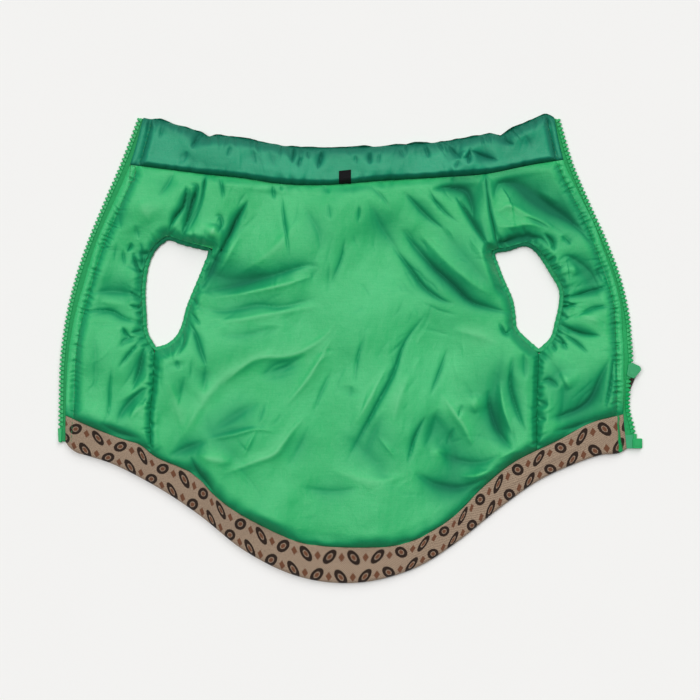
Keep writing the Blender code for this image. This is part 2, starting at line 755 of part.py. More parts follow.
def seam_line(lines, seam):
    """A seam across all three panels, through the points where their columns meet it."""
    counts = (("left", FRONT_COLUMNS), ("back", BACK_COLUMNS), ("right", FRONT_COLUMNS))
    return joined(*[resampled(lines[f"{seam}_{side}"], fine_both(count)) for side, count in counts])


def back_grid(lines):
    columns = fine_both(BACK_COLUMNS)
    left, right = inner_edge(lines, "left", "back"), inner_edge(lines, "right", "back")
    top = snap(resampled(lines["neck_back"], columns), left[0], right[0])
    bottom = snap(resampled(lines["facing_back"], columns), left[-1], right[-1])
    gaps = (SEAM_GAP / 2, inner_gaps(), SEAM_GAP / 2, inner_gaps()[::-1])
    return patch(top, bottom, left, right, gaps)


def front_grid(lines, side):
    columns = fine_both(FRONT_COLUMNS)
    seam = inner_edge(lines, side, "front")
    if side == "left":
        zip_side = zip_edge_stations(lines["zip_left"], ZIP_SHARES_LEFT)
        top = snap(resampled(lines["neck_left"], columns), zip_side[0], seam[0])
        bottom = snap(resampled(lines["facing_left"], columns), zip_side[-1], seam[-1])
        return patch(top, bottom, zip_side, seam, (SEAM_GAP / 2, inner_gaps(), SEAM_GAP / 2, 0.0))
    zip_side = zip_edge_stations(lines["zip_right"], ZIP_SHARES_RIGHT)
    top = snap(resampled(lines["neck_right"], columns), seam[0], zip_side[0])
    bottom = snap(resampled(lines["facing_right"], columns), seam[-1], zip_side[-1])
    return patch(top, bottom, seam, zip_side, (SEAM_GAP / 2, 0.0, SEAM_GAP / 2, inner_gaps()[::-1]))


def collar_grid(lines):
    rows = fine_both(COLLAR_ROWS)
    left = resampled(lines["collar_end_left"], rows)
    right = resampled(lines["collar_end_right"], rows)
    bottom = snap(spaced(seam_line(lines, "neck"), COLLAR_STEP), left[-1], right[-1])
    top = resampled(lines["collar_top"], lengths(bottom) / lengths(bottom)[-1])
    return patch(snap(top, left[0], right[0]), bottom, left, right, (0.0, 0.0, SEAM_GAP / 2, 0.0))


def facing_grid(lines):
    rows = fine_both(FACING_ROWS)
    left = resampled(lines["hem_end_left"], rows)
    right = resampled(lines["hem_end_right"], rows)
    top = snap(spaced(seam_line(lines, "facing"), FACING_STEP), left[0], right[0])
    bottom = resampled(lines["hem"], lengths(top) / lengths(top)[-1])
    return patch(top, snap(bottom, left[-1], right[-1]), left, right, (SEAM_GAP / 2, 0.0, 0.0, 0.0))


def gather_rows(lines, side, panel):
    return (lines[f"armhole_{side}_{panel}"], GATHER_PITCH, GATHER_DEPTH, GATHER_REACH)


def pucker_row(line):
    return (line, ZIP_PUCKER_PITCH, ZIP_PUCKER_DEPTH, GATHER_REACH)


def collar_height(places, outline, lines):
    gathered = ((lines["collar_top"], COLLAR_GATHER_PITCH, COLLAR_GATHER_DEPTH, GATHER_REACH),)
    return LINING_FLOOR + pad_height(places, outline, COLLAR_PAD, COLLAR_FOLDS, gathered)


# ---------------------------------------------------------------- the pieces
def make_linings(lines, collection):
    """The satin back and fronts over their wadding, and the padded collar."""
    grid = back_grid(lines)
    gathered = (gather_rows(lines, "left", "back"), gather_rows(lines, "right", "back"))
    top = LINING_FLOOR + pad_height(grid, boundary(grid), BODY_PAD, BACK_FOLDS, gathered)
    panel("lining_back", grid, top, LINING_FLOOR, "lining_satin", collection)

    grid = front_grid(lines, "left")
    gathered = (gather_rows(lines, "left", "front"), pucker_row(lines["zip_left"]))
    top = LINING_FLOOR + pad_height(grid, boundary(grid), FRONT_PAD, FRONT_LEFT_FOLDS, gathered)
    panel("lining_front_left", grid, top, LINING_FLOOR, "lining_satin", collection)

    grid = front_grid(lines, "right")
    gathered = (gather_rows(lines, "right", "front"), pucker_row(lines["zip_right"]))
    raised = lift(grid) + LINING_FLOOR
    top = raised + pad_height(grid, boundary(grid), FRONT_PAD, FRONT_RIGHT_FOLDS, gathered)
    panel("lining_front_right", grid, top, raised, "lining_satin", collection)

    grid = collar_grid(lines)
    top = collar_height(grid, boundary(grid), lines)
    panel("collar_lining", grid, top, LINING_FLOOR, "collar_satin", collection)


def make_facing(lines, collection):
    """The canvas turned up over the lower edge, and stitched down along its upper one."""
    grid = facing_grid(lines)
    top = LINING_FLOOR + pad_height(grid, boundary(grid), FACING_PAD, (), ())
    panel("hem_facing", grid, top, LINING_FLOOR, "canvas", collection)


def shell_edges(lines, side):
    """The four edges of one outer piece, clockwise: neck, right, hem and left."""
    hem_left, rest = split(lines["hem"], (SIDE_LEFT[-1][0], -96.0))
    hem_back, hem_right = split(rest, (SIDE_RIGHT[-1][0], -95.0))
    hem = {"left": hem_left, "back": hem_back, "right": hem_right}[side]
    neck = resampled(lines["neck_" + side], fine_both(BACK_COLUMNS if side == "back" else FRONT_COLUMNS))
    panel_name = "back" if side == "back" else "front"
    if side == "left":
        left = joined(lines["zip_left"], lines["hem_end_left"])
    else:
        seam_side = "left" if side == "back" else "right"
        left = np.vstack([inner_edge(lines, seam_side, panel_name), hem[:1]])
    if side == "right":
        right = joined(lines["zip_right"], lines["hem_end_right"])
    else:
        seam_side = "right" if side == "back" else "left"
        right = np.vstack([inner_edge(lines, seam_side, panel_name), hem[-1:]])
    return snap(neck, left[0], right[0]), right, snap(hem, left[-1], right[-1])[::-1], left[::-1]


def flat_shell(name, edges, gaps, collection):
    """A flat outer piece from its four edges, taken clockwise and moved in by their gaps."""
    loop = np.vstack([line[:-1] for line in edges])
    gap_of_side = [np.broadcast_to(gap, len(line) - 1) for gap, line in zip(gaps, edges)]
    outline = inset(loop, np.concatenate(gap_of_side))
    flat_panel(name, outline, 0.0, SHELL_THICK, "canvas", collection)


def make_shells(lines, collection):
    """The outer cloth, which lies on the surface. Its right front stands up over the slider's pull tab."""
    seam = SEAM_GAP / 2
    seam_gaps = np.append(inner_gaps(), seam)
    neck, right, hem, left = shell_edges(lines, "back")
    hem = resampled(hem, even(40))
    flat_shell("shell_back", (neck, right, hem, left), (seam, seam_gaps, HEM_WRAP, seam_gaps[::-1]), collection)
    neck, right, hem, left = shell_edges(lines, "left")
    hem, left = resampled(hem, even(12)), resampled(left, even(40))
    flat_shell("shell_front_left", (neck, right, hem, left), (seam, seam_gaps, HEM_WRAP, 0.0), collection)

    neck, right, hem, left = shell_edges(lines, "right")
    left = left[::-1]
    right = resampled(right, lengths(left) / lengths(left)[-1])
    bottom = snap(resampled(hem[::-1], fine_both(FRONT_COLUMNS)), left[-1], right[-1])
    grid = patch(neck, bottom, left, right, (seam, 0.0, HEM_WRAP, seam_gaps[::-1]))
    raised = lift(grid)
    panel("shell_front_right", grid, SHELL_THICK + 0.92 * raised, raised, "canvas", collection)

    neck = seam_line(lines, "neck")
    top = spaced(lines["collar_top"], COLLAR_STEP)
    left = resampled(lines["collar_end_left"], even(5))
    right = resampled(lines["collar_end_right"], even(5))
    top = snap(top, left[0], right[0])
    neck = snap(neck, left[-1], right[-1])
    flat_shell("collar_shell", (top, right, neck[::-1], left[::-1]), (HEM_WRAP, SEAM_GAP, seam, SEAM_GAP), collection)


def make_armhole_edges(lines, collection):
    """The narrow gathered edge round each armhole."""
    high = ARMHOLE_EDGE_HIGH
    sides = ((0.0, 0.0), (1.0, 0.0), (1.0, 0.72 * high), (0.72, high), (0.28, high), (0.0, 0.72 * high))
    for side in ("left", "right"):
        front = resampled(lines[f"armhole_{side}_front"], even(ARMHOLE_ROWS))
        back = resampled(lines[f"armhole_{side}_back"], even(ARMHOLE_ROWS))
        loop = joined(back, front[::-1])[:-1]
        if signed_area(loop) > 0:
            loop = loop[::-1]
        outer = inset(loop, np.full(len(loop), -ARMHOLE_EDGE_WIDE))
        sections = strip_sections(loop, outer, np.zeros(len(loop)), sides)
        loft("armhole_edge_" + side, sections, "lining_satin", collection, closed=True)


def signed_area(loop):
    x, y = loop.T
    return 0.5 * np.sum(x * np.roll(y, -1) - np.roll(x, -1) * y)


def above(line, y):
    """The part of a downward line above y."""
    return line[line[:, 1] > y]


def make_zip(lines, collection):
    """The tapes along the fronts, and the strips that the teeth fill."""
    rows = (
        ("left", TOOTH_TIPS_LEFT, 1, LEFT_CHAIN_ENDS, LEFT_TAPE_ENDS),
        ("right", TOOTH_TIPS_RIGHT, -1, RIGHT_CHAIN_ENDS, RIGHT_TAPE_ENDS),
    )
    for side, tips, inward, chain_ends, tape_ends in rows:
        tips_line = edge(tips)
        # Seen going down, the left front lies on the left hand and the right front on the right.
        chain_inner = offset(tips_line, -inward * CHAIN_WIDE)
        tape_outer = offset(tips_line, -inward * (CHAIN_WIDE + SEAM_GAP))
        tape_inner = offset(lines[f"zip_{side}_full"], inward * SEAM_GAP)
        share = even(TAPE_SECTIONS)
        inner = resampled(above(tape_inner, tape_ends), share)
        outer = resampled(above(tape_outer, tape_ends), share)
        middle = CHAIN_HEIGHT + lift(inner) * (side == "right")
        high = TAPE_THICK / 2
        sections = strip_sections(inner, outer, middle, ((0, -high), (1, -high), (1, high), (0, high)))
        loft("zip_tape_" + side, sections, "zip_tape", collection)
        keep = tips_line[:, 1] > chain_ends
        inner = resampled(chain_inner[keep], share)
        outer = resampled(tips_line[keep], share)
        middle = CHAIN_HEIGHT + lift(inner) * (side == "right")
        high, low = CHAIN_THICK / 2, CHAIN_THICK / 4
        sides = ((0.0, -low), (0.3, -high), (1.0, -high), (1.0, high), (0.3, high), (0.0, low))
        sections = strip_sections(inner, outer, middle, sides)
        loft("zip_chain_" + side, sections, "zip_plastic", collection)


def make_slider(collection, cutters):
    """Two plates on a post, with the bail that holds the pull tab below, where the vest's outside is."""
    nose = SLIDER_LONG / 2
    widths = (
        (-nose, SLIDER_TAIL_WIDE),
        (nose - SLIDER_SHOULDER_BACK, SLIDER_SHOULDER_WIDE),
        (nose, SLIDER_NOSE_WIDE),
    )
    upper = CHANNEL_FLOOR + CHANNEL_HIGH
    slider = plate("zip_slider", widths, upper, upper + PLATE_THICK, collection, "slider_paint")
    lower = plate("slider_lower_plate", widths, PLATE_UNDERSIDE, CHANNEL_FLOOR, cutters, "slider_paint")
    post_high = CHANNEL_HIGH + PLATE_THICK
    post_middle = (0.1, SLIDER_LONG / 2 - 1.4, CHANNEL_FLOOR + CHANNEL_HIGH / 2)
    post = block("slider_post", (1.6, 2.2, post_high), post_middle, cutters, "slider_paint")
    bail_low = HINGE_HEIGHT - HINGE_CLEAR - BAIL_STRIP
    bail_high = PLATE_UNDERSIDE + PLATE_THICK / 2
    bail_long = BAIL_BACK + BAIL_FRONT
    bail_middle = (0.0, HINGE_FORWARD + (BAIL_FRONT - BAIL_BACK) / 2, (bail_low + bail_high) / 2)
    bail = block("slider_bail", (BAIL_WIDE, bail_long, bail_high - bail_low), bail_middle, cutters, "slider_paint")
    tunnel_size = (BAIL_WIDE * 2, HINGE_CLEAR * 2, HINGE_CLEAR * 2)
    tunnel_middle = (0.0, HINGE_FORWARD, HINGE_HEIGHT)
    tunnel = block("slider_bail_tunnel", tunnel_size, tunnel_middle, cutters, "slider_paint")
    combine(slider, (post, lower, bail), "UNION")
    combine(slider, (tunnel,), "DIFFERENCE")
    slider.location = (SLIDER_X * MM, SLIDER_Y * MM, 0.0)
    slider.rotation_euler = Euler((0.0, 0.0, SLIDER_TURN))
    return slider


def make_pull(collection, cutters):
    """The pull tab, with its origin on its hinge: a bar through the bail, two arms and the tab."""
    arm_wide = (PULL_WIDE - PULL_ARM_GAP) / 2
    widths = (
        (-PULL_LONG, PULL_END_WIDE - 3.0),
        (-PULL_LONG + 0.6, PULL_END_WIDE - 1.0),
        (-PULL_LONG + 1.8, PULL_END_WIDE),
        (-PULL_ARM_LONG, PULL_WIDE),
    )
    pull = plate("zip_pull", widths, -PULL_THICK / 2, PULL_THICK / 2, collection, "pull_leather")
    tools = [bar("pull_bar", PULL_BAR_RADIUS, PULL_WIDE - arm_wide, (0.0, 0.0, 0.0), cutters, "pull_leather")]
    for side, sign in (("left", -1), ("right", 1)):
        arm_x = sign * (PULL_ARM_GAP + arm_wide) / 2
        arm_size = (arm_wide, PULL_ARM_LONG + 1.0, PULL_THICK)
        arm_middle = (arm_x, -PULL_ARM_LONG / 2 - 0.5, 0.0)
        tools.append(block("pull_arm_" + side, arm_size, arm_middle, cutters, "pull_leather"))
        tools.append(bar("pull_eye_" + side, PULL_THICK / 2, arm_wide, (arm_x, 0.0, 0.0), cutters, "pull_leather"))
    combine(pull, tools, "UNION")
    forward = Vector((0.0, HINGE_FORWARD, HINGE_HEIGHT))
    forward.rotate(Euler((0.0, 0.0, SLIDER_TURN)))
    pull.location = (Vector((SLIDER_X, SLIDER_Y, 0.0)) + forward) * MM
    pull.rotation_euler = Euler((0.0, 0.0, SLIDER_TURN))
    return pull


def make_zip_ends(collection, cutters):
    """The retaining box at the foot of the right chain, and the insertion pin at the foot of the left one."""
    x, y = BOX_MIDDLE
    box = block("zip_box", (BOX_WIDE, BOX_LONG, BOX_THICK), (x, y, BOX_THICK / 2), collection, "zip_plastic")
    neck_size = (BOX_NECK_WIDE, BOX_NECK_LONG, CHAIN_THICK)
    neck_x = x - BOX_WIDE / 2 + BOX_NECK_WIDE / 2 + 0.4
    neck_middle = (neck_x, y + BOX_LONG / 2 + BOX_NECK_LONG / 2 - 0.9, CHAIN_HEIGHT)
    combine(box, (block("zip_box_neck", neck_size, neck_middle, cutters, "zip_plastic"),), "UNION")

    long = LEFT_CHAIN_ENDS - LEFT_TAPE_ENDS - SEAM_GAP
    low, high = CHAIN_HEIGHT - PIN_THICK / 2, CHAIN_HEIGHT + PIN_THICK / 2
    pin = plate("zip_pin", ((0.0, PIN_END_WIDE), (long, PIN_TOP_WIDE)), low, high, collection, "zip_plastic")
    pin.location = (-207.5 * MM, LEFT_TAPE_ENDS * MM, 0.0)


def make_label(lines, collection):
    """A ribbed ribbon that lies on the collar, from the neck seam up."""
    across = np.linspace(-LABEL_WIDE / 2, LABEL_WIDE / 2, 5) + LABEL_MIDDLE_X
    up = np.linspace(LABEL_LONG, 0.4, 6)
    seam = lines["neck"]
    seam_y = np.interp(across, seam[:, 0], seam[:, 1])
    grid = np.stack(np.broadcast_arrays(across[None, :], seam_y[None, :] + up[:, None]), axis=-1)
    below = collar_height(grid, boundary(collar_grid(lines)), lines) + 0.7
    panel("label", grid, below + LABEL_THICK, below, "label_ribbon", collection)


def main():
    for old in list(bpy.data.objects):
        bpy.data.objects.remove(old, do_unlink=True)
    vest = bpy.data.collections.new("padded_dog_vest")
    cutters = bpy.data.collections.new("cutters")
    cutters.hide_render = True
    for collection in (vest, cutters):
        bpy.context.scene.collection.children.link(collection)
    lines = garment_lines()
    make_linings(lines, vest)
    make_facing(lines, vest)
    make_shells(lines, vest)
    make_armhole_edges(lines, vest)
    make_zip(lines, vest)
    make_slider(vest, cutters)
    make_pull(vest, cutters)
    make_zip_ends(vest, cutters)
    make_label(lines, vest)


main()
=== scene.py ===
"""The looks of a padded vest for a small dog, unzipped and laid open flat with its satin lining up.

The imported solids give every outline. Tables and sizes here are in millimetres, seen from above:
X runs across the vest, Y from the hem up to the collar, and Z up from the surface that it lies on.
"""

import math
from collections import namedtuple

import bmesh
import bpy
import numpy as np
from mathutils import Matrix, Vector
from mathutils.bvhtree import BVHTree


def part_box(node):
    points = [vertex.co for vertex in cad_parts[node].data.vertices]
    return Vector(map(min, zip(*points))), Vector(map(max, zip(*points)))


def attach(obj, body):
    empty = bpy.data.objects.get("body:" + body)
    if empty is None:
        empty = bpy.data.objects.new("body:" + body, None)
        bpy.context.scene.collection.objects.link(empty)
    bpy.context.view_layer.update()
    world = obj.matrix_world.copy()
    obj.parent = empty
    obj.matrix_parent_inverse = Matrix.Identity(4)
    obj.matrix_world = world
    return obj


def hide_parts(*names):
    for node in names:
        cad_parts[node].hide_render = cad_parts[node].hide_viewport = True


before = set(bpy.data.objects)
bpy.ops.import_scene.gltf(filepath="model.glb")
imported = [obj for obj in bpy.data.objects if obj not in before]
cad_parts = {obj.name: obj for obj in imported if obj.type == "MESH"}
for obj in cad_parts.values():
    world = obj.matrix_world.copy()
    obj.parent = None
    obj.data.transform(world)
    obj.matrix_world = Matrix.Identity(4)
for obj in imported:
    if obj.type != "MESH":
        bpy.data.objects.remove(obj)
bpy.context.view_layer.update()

MM = 0.001
VEST, PULL_TAB = "vest", "pull_tab"

# ---------------------------------------------------------------- sizes, in millimetres
PICTURE_WIDE = 500.0
PICTURE_MIDDLE_Y = -0.7
CAMERA_LENS = 100.0
CAMERA_SENSOR = 36.0
GARMENT_MIDDLE_HIGH = 5.0
FLOOR_DROP, FLOOR_HALF = 0.4, 3000.0
LIGHT_AWAY = 3000.0
# The share of a light is what it adds to a white level surface.
Light = namedtuple("Light", "name direction spread share")
LIGHTS = (
    Light("overhead", (-0.24, 0.12, 1.0), 36.0, 0.54),
    Light("top_edge", (0.3, 1.0, 0.95), 44.0, 0.31),
)

# Points closer than MERGE are one, and an underside that rises by less than LEVEL is level.
MERGE, LEVEL = 0.01, 0.01
SHARP_TURN = math.radians(28)
SEAM_OVERLAP = 0.15
BACK_STEP, FRONT_STEP, COLLAR_STEP, FACING_STEP, SHELL_STEP = 0.92, 0.8, 0.7, 0.7, 2.6
TAPE_STEP, ARMHOLE_STEP = 0.8, 0.75

# Padding: its least thickness and how softly it gets there, the height of an edge above which it swells
# gently, and the height of the rib between an edge and its topstitching.
THINNEST, SOFTEST = 0.7, 0.5
GENTLE_ABOVE, RIB_HIGH = 3.0, 1.3
# Undulations: how many waves, the shortest, the longest and how deep they are.
BROAD_WAVES = (9, 45.0, 120.0, 2.2)
SMALL_WAVES = (14, 16.0, 42.0, 0.3)
SCALLOP_WAVES = (8, 9.0, 40.0, 1.0)
FACING_WAVES = (12, 14.0, 50.0, 0.3)
DENT_WAVES = (10, 18.0, 70.0, 1.0)
SCALLOP_LEAST, SCALLOP_FADE = 0.9, 3.0
# Folds: a sunk one is sharp along its path, a raised one is blunt.
FOLD_STEP, FOLD_SPREAD = 1.5, 4.5
VALLEY_BLUNT, RIDGE_BLUNT = 0.12, 0.7
# Faint creases: the cloth that each has to itself in mm2, how far they stray from the noted headings in
# degrees, and the limits of their sizes.
CREASE_ROOM, CREASE_STRAY = 480.0, 13
CREASE_LONG, CREASE_REACH, CREASE_RISE = (7, 30), (0.8, 1.9), (0.2, 0.65)
CREASE_LEAN, CREASE_BEND = 0.4, 0.12
# Gathers: their width as a share of their pitch, and how far they may slant.
GATHER_WIDE, GATHER_SLANT = 0.28, 0.45
# What the random draws of each kind of piece start from.
PADDED_SEED, SCALLOP_SEED, FACING_SEED, SHELL_SEED, ARMHOLE_SEED, STITCH_SEED = 11, 100, 41, 60, 80, 5

# Shares of painted shade in sunk folds and on steep slopes and of painted highlight on raised folds, and the
# depth, slope or height at which each is full.
HOLLOW_PAINTED_SHADE, HOLLOW_DEEP = 0.95, 6.2
FLANK_PAINTED_SHADE, FLANK_STEEP = 0.42, 0.9
RIDGE_PAINTED_HIGHLIGHT, RIDGE_HIGH = 0.42, 2.8
# Painted shade on the armholes' elastic edges, darker under the straps, above this height on the vest.
STRAP_LOW, STRAP_FADE = 60.0, 12.0
RING_PAINTED_SHADE, STRAP_PAINTED_SHADE = 0.3, 0.85

# The other cloth: how thick each is, how deep its dents and ruffles are, and how far it turns or hides.
CANVAS_THICK, SHELL_DENT = 1.2, 0.35
FACING_FULL, FACING_FADE = 3.1, 4.0
HEM_TURN, HEM_TURN_LOW = 0.7, 0.25
RUFFLE_DEEP, RUFFLE_FULL, RUFFLE_TURNS = 0.14, 3.2, (34, 78, 7)
TAPE_THICK, TAPE_UNDER_TEETH = 0.75, 1.9
CORD_HIGH, CORD_HALF, CORD_IN = 0.3, 0.7, 0.2
LABEL_THICK, LABEL_SUNK, LABEL_RIB = 0.55, 0.15, 0.1

TOOTH_PITCH, TOOTH_THICK, TOOTH_MIDDLE = 3.05, 2.4, 1.7
TOOTH_HALF = (
    (1.3, -0.6), (1.3, 0.9), (0.85, 1.2), (0.8, 1.5), (1.0, 1.8), (0.98, 2.3), (0.66, 2.85), (0.25, 3.15),
)
STITCH_PITCH, TACK_PITCH, PULL_PITCH = 3.1, 1.9, 2.5
STITCH_LONG, STITCH_THICK = 2.2, 0.42
# A stitch's sections from end to end: place along it, thickness and height, as shares.
STITCH_SECTIONS = (
    (-1.0, 0.35, -1.0), (-0.72, 0.9, -0.1), (0.0, 1.0, 0.25), (0.72, 0.9, -0.1), (1.0, 0.35, -1.0),
)
TACK = ((-157.0, 131.0), (-153.6, 130.6), (-153.9, 119.4), (-157.4, 119.8))

SLIDER_MIDDLE = (202.0, -15.5)
SLIDER_TURN = math.radians(-25)
SLIDER_NOSE, SLIDER_SHOULDER, SLIDER_TAIL, SLIDER_LONG = 6.4, 10.2, 5.8, 9.9
PLATE_LOW, PLATE_HIGH, PLATE_THICK = 2.3, 6.2, 1.0
BAIL_WIDE, BAIL_MIDDLE, BAIL_OUTER, BAIL_INNER = 2.3, (0.3, 2.7), (2.7, 2.65), (2.2, 2.15)
HINGE = (202.338, -14.775, 1.4)
PULL_THICK, PULL_BAR = 1.2, 0.55
PULL_OUTLINE = (
    (1.5, 0.6), (1.5, -4.2), (-1.5, -4.2), (-1.5, 0.6), (-3.9, 0.6), (-4.6, -14.8),
    (-4.3, -16.0), (-3.4, -16.6), (3.4, -16.6), (4.3, -16.0), (4.6, -14.8), (3.9, 0.6),
)
PULL_BORDER = ((3.0, -5.6), (-3.0, -5.6), (-3.5, -14.4), (-3.0, -15.3), (3.0, -15.3), (3.5, -14.4))
TAPE_END = ((196.9, -71.2), (202.9, -71.2), (202.9, -61.4), (196.6, -61.4))
BOX_WIDE, BOX_LONG = 7.0, 7.1
# Turns a shape so that its outline lies in the y-z plane and its height runs along x.
SIDEWAYS = Matrix(((0, 0, 1, 0), (1, 0, 0, 0), (0, 1, 0, 0), (0, 0, 0, 1)))

# ---------------------------------------------------------------- edges of the padded pieces
# Clockwise from the top left. Each edge starts at a place; corner marks the four corners of the piece's grid.
# low is the padding's height at the edge, reach the distance over which it swells, and stitched the distance
# of a line of topstitching from the edge. Gathers have a pitch and a depth, and die away over their fade.
# dark is how much painted shade deepens the satin's green where it rolls down to the edge.
Edge = namedtuple("Edge", "start corner low reach stitched pitch depth fade dark", defaults=(0.0,) * 5)
BACK_EDGES = (
    Edge((-102.5, 124.6), True, 4.2, 7.0, 0.0, 13.0, 0.7, 5.0, 0.0),
    Edge((96.6, 124.9), True, 6.4, 3.0, 0.0, 0.0, 0.0, 0.0, 0.35),
    Edge((105.5, 69.0), False, 3.3, 8.0, 0.0, 9.0, 0.45, 5.0, 0.05),
    Edge((135.2, 0.1), False, 4.3, 5.0, 0.0, 4.6, 1.3, 3.5, 0.18),
    Edge((133.5, -73.2), True, 1.6, 11.0, 0.0, 17.0, 0.6, 6.0, 0.24),
    Edge((-142.1, -75.0), True, 4.7, 5.0, 0.0, 5.0, 1.2, 3.2, 0.18),
    Edge((-138.9, 1.4), False, 3.3, 8.0, 0.0, 7.0, 0.8, 7.0, 0.05),
    Edge((-119.0, 74.2), False, 6.4, 3.0, 0.0, 0.0, 0.0, 0.0, 0.3),
)
FRONT_LEFT_EDGES = (
    Edge((-157.4, 131.8), True, 4.2, 7.0),
    Edge((-102.5, 124.6), True, 6.2, 3.0, 0.0, 0.0, 0.0, 0.0, 0.3),
    Edge((-119.0, 74.2), False, 3.2, 8.0, 0.0, 5.0, 1.2, 5.5, 0.2),
    Edge((-138.9, 1.4), False, 4.6, 5.0, 0.0, 5.0, 1.2, 3.2, 0.15),
    Edge((-142.1, -75.0), True, 1.8, 11.0, 0.0, 15.0, 0.5, 5.0, 0.4),
    Edge((-203.3, -48.2), True, 1.5, 8.5, 5.7, 3.4, 0.9, 2.8, 0.0),
)
FRONT_RIGHT_EDGES = (
    Edge((96.6, 124.9), True, 4.2, 7.0),
    Edge((152.8, 135.2), True, 1.5, 8.5, 4.9, 3.4, 1.1, 3.0, 0.0),
    Edge((195.4, -46.9), True, 1.8, 11.0, 0.0, 15.0, 0.5, 5.0, 0.4),
    Edge((133.5, -73.2), True, 4.2, 5.0, 0.0, 4.6, 1.3, 3.5, 0.25),
    Edge((135.2, 0.1), False, 3.2, 8.0, 0.0, 4.0, 1.6, 6.0, 0.22),
    Edge((106.5, 69.2), False, 6.2, 3.0, 0.0, 0.0, 0.0, 0.0, 0.35),
)
COLLAR_EDGES = (
    Edge((-147.7, 164.9), True, 1.4, 9.0, 0.0, 5.6, 1.3, 5.0, 0.5),
    Edge((145.7, 165.3), True, 1.8, 6.0, 4.6, 5.0, 0.25, 2.5, 0.1),
    Edge((152.8, 135.2), True, 1.6, 4.4, 0.0, 9.0, 1.1, 4.0, 0.45),
    Edge((-157.4, 131.8), True, 1.8, 6.0, 6.4, 5.0, 0.25, 2.5, 0.1),
)
FACING_EDGES = (
    Edge((-203.3, -48.2), True, 2.1, 2.5),
    Edge((195.4, -46.9), True, 1.3, 1.6),
    Edge((197.8, -71.4), True, 0.9, 2.4),
    Edge((-203.5, -66.4), True, 1.3, 1.6),
)

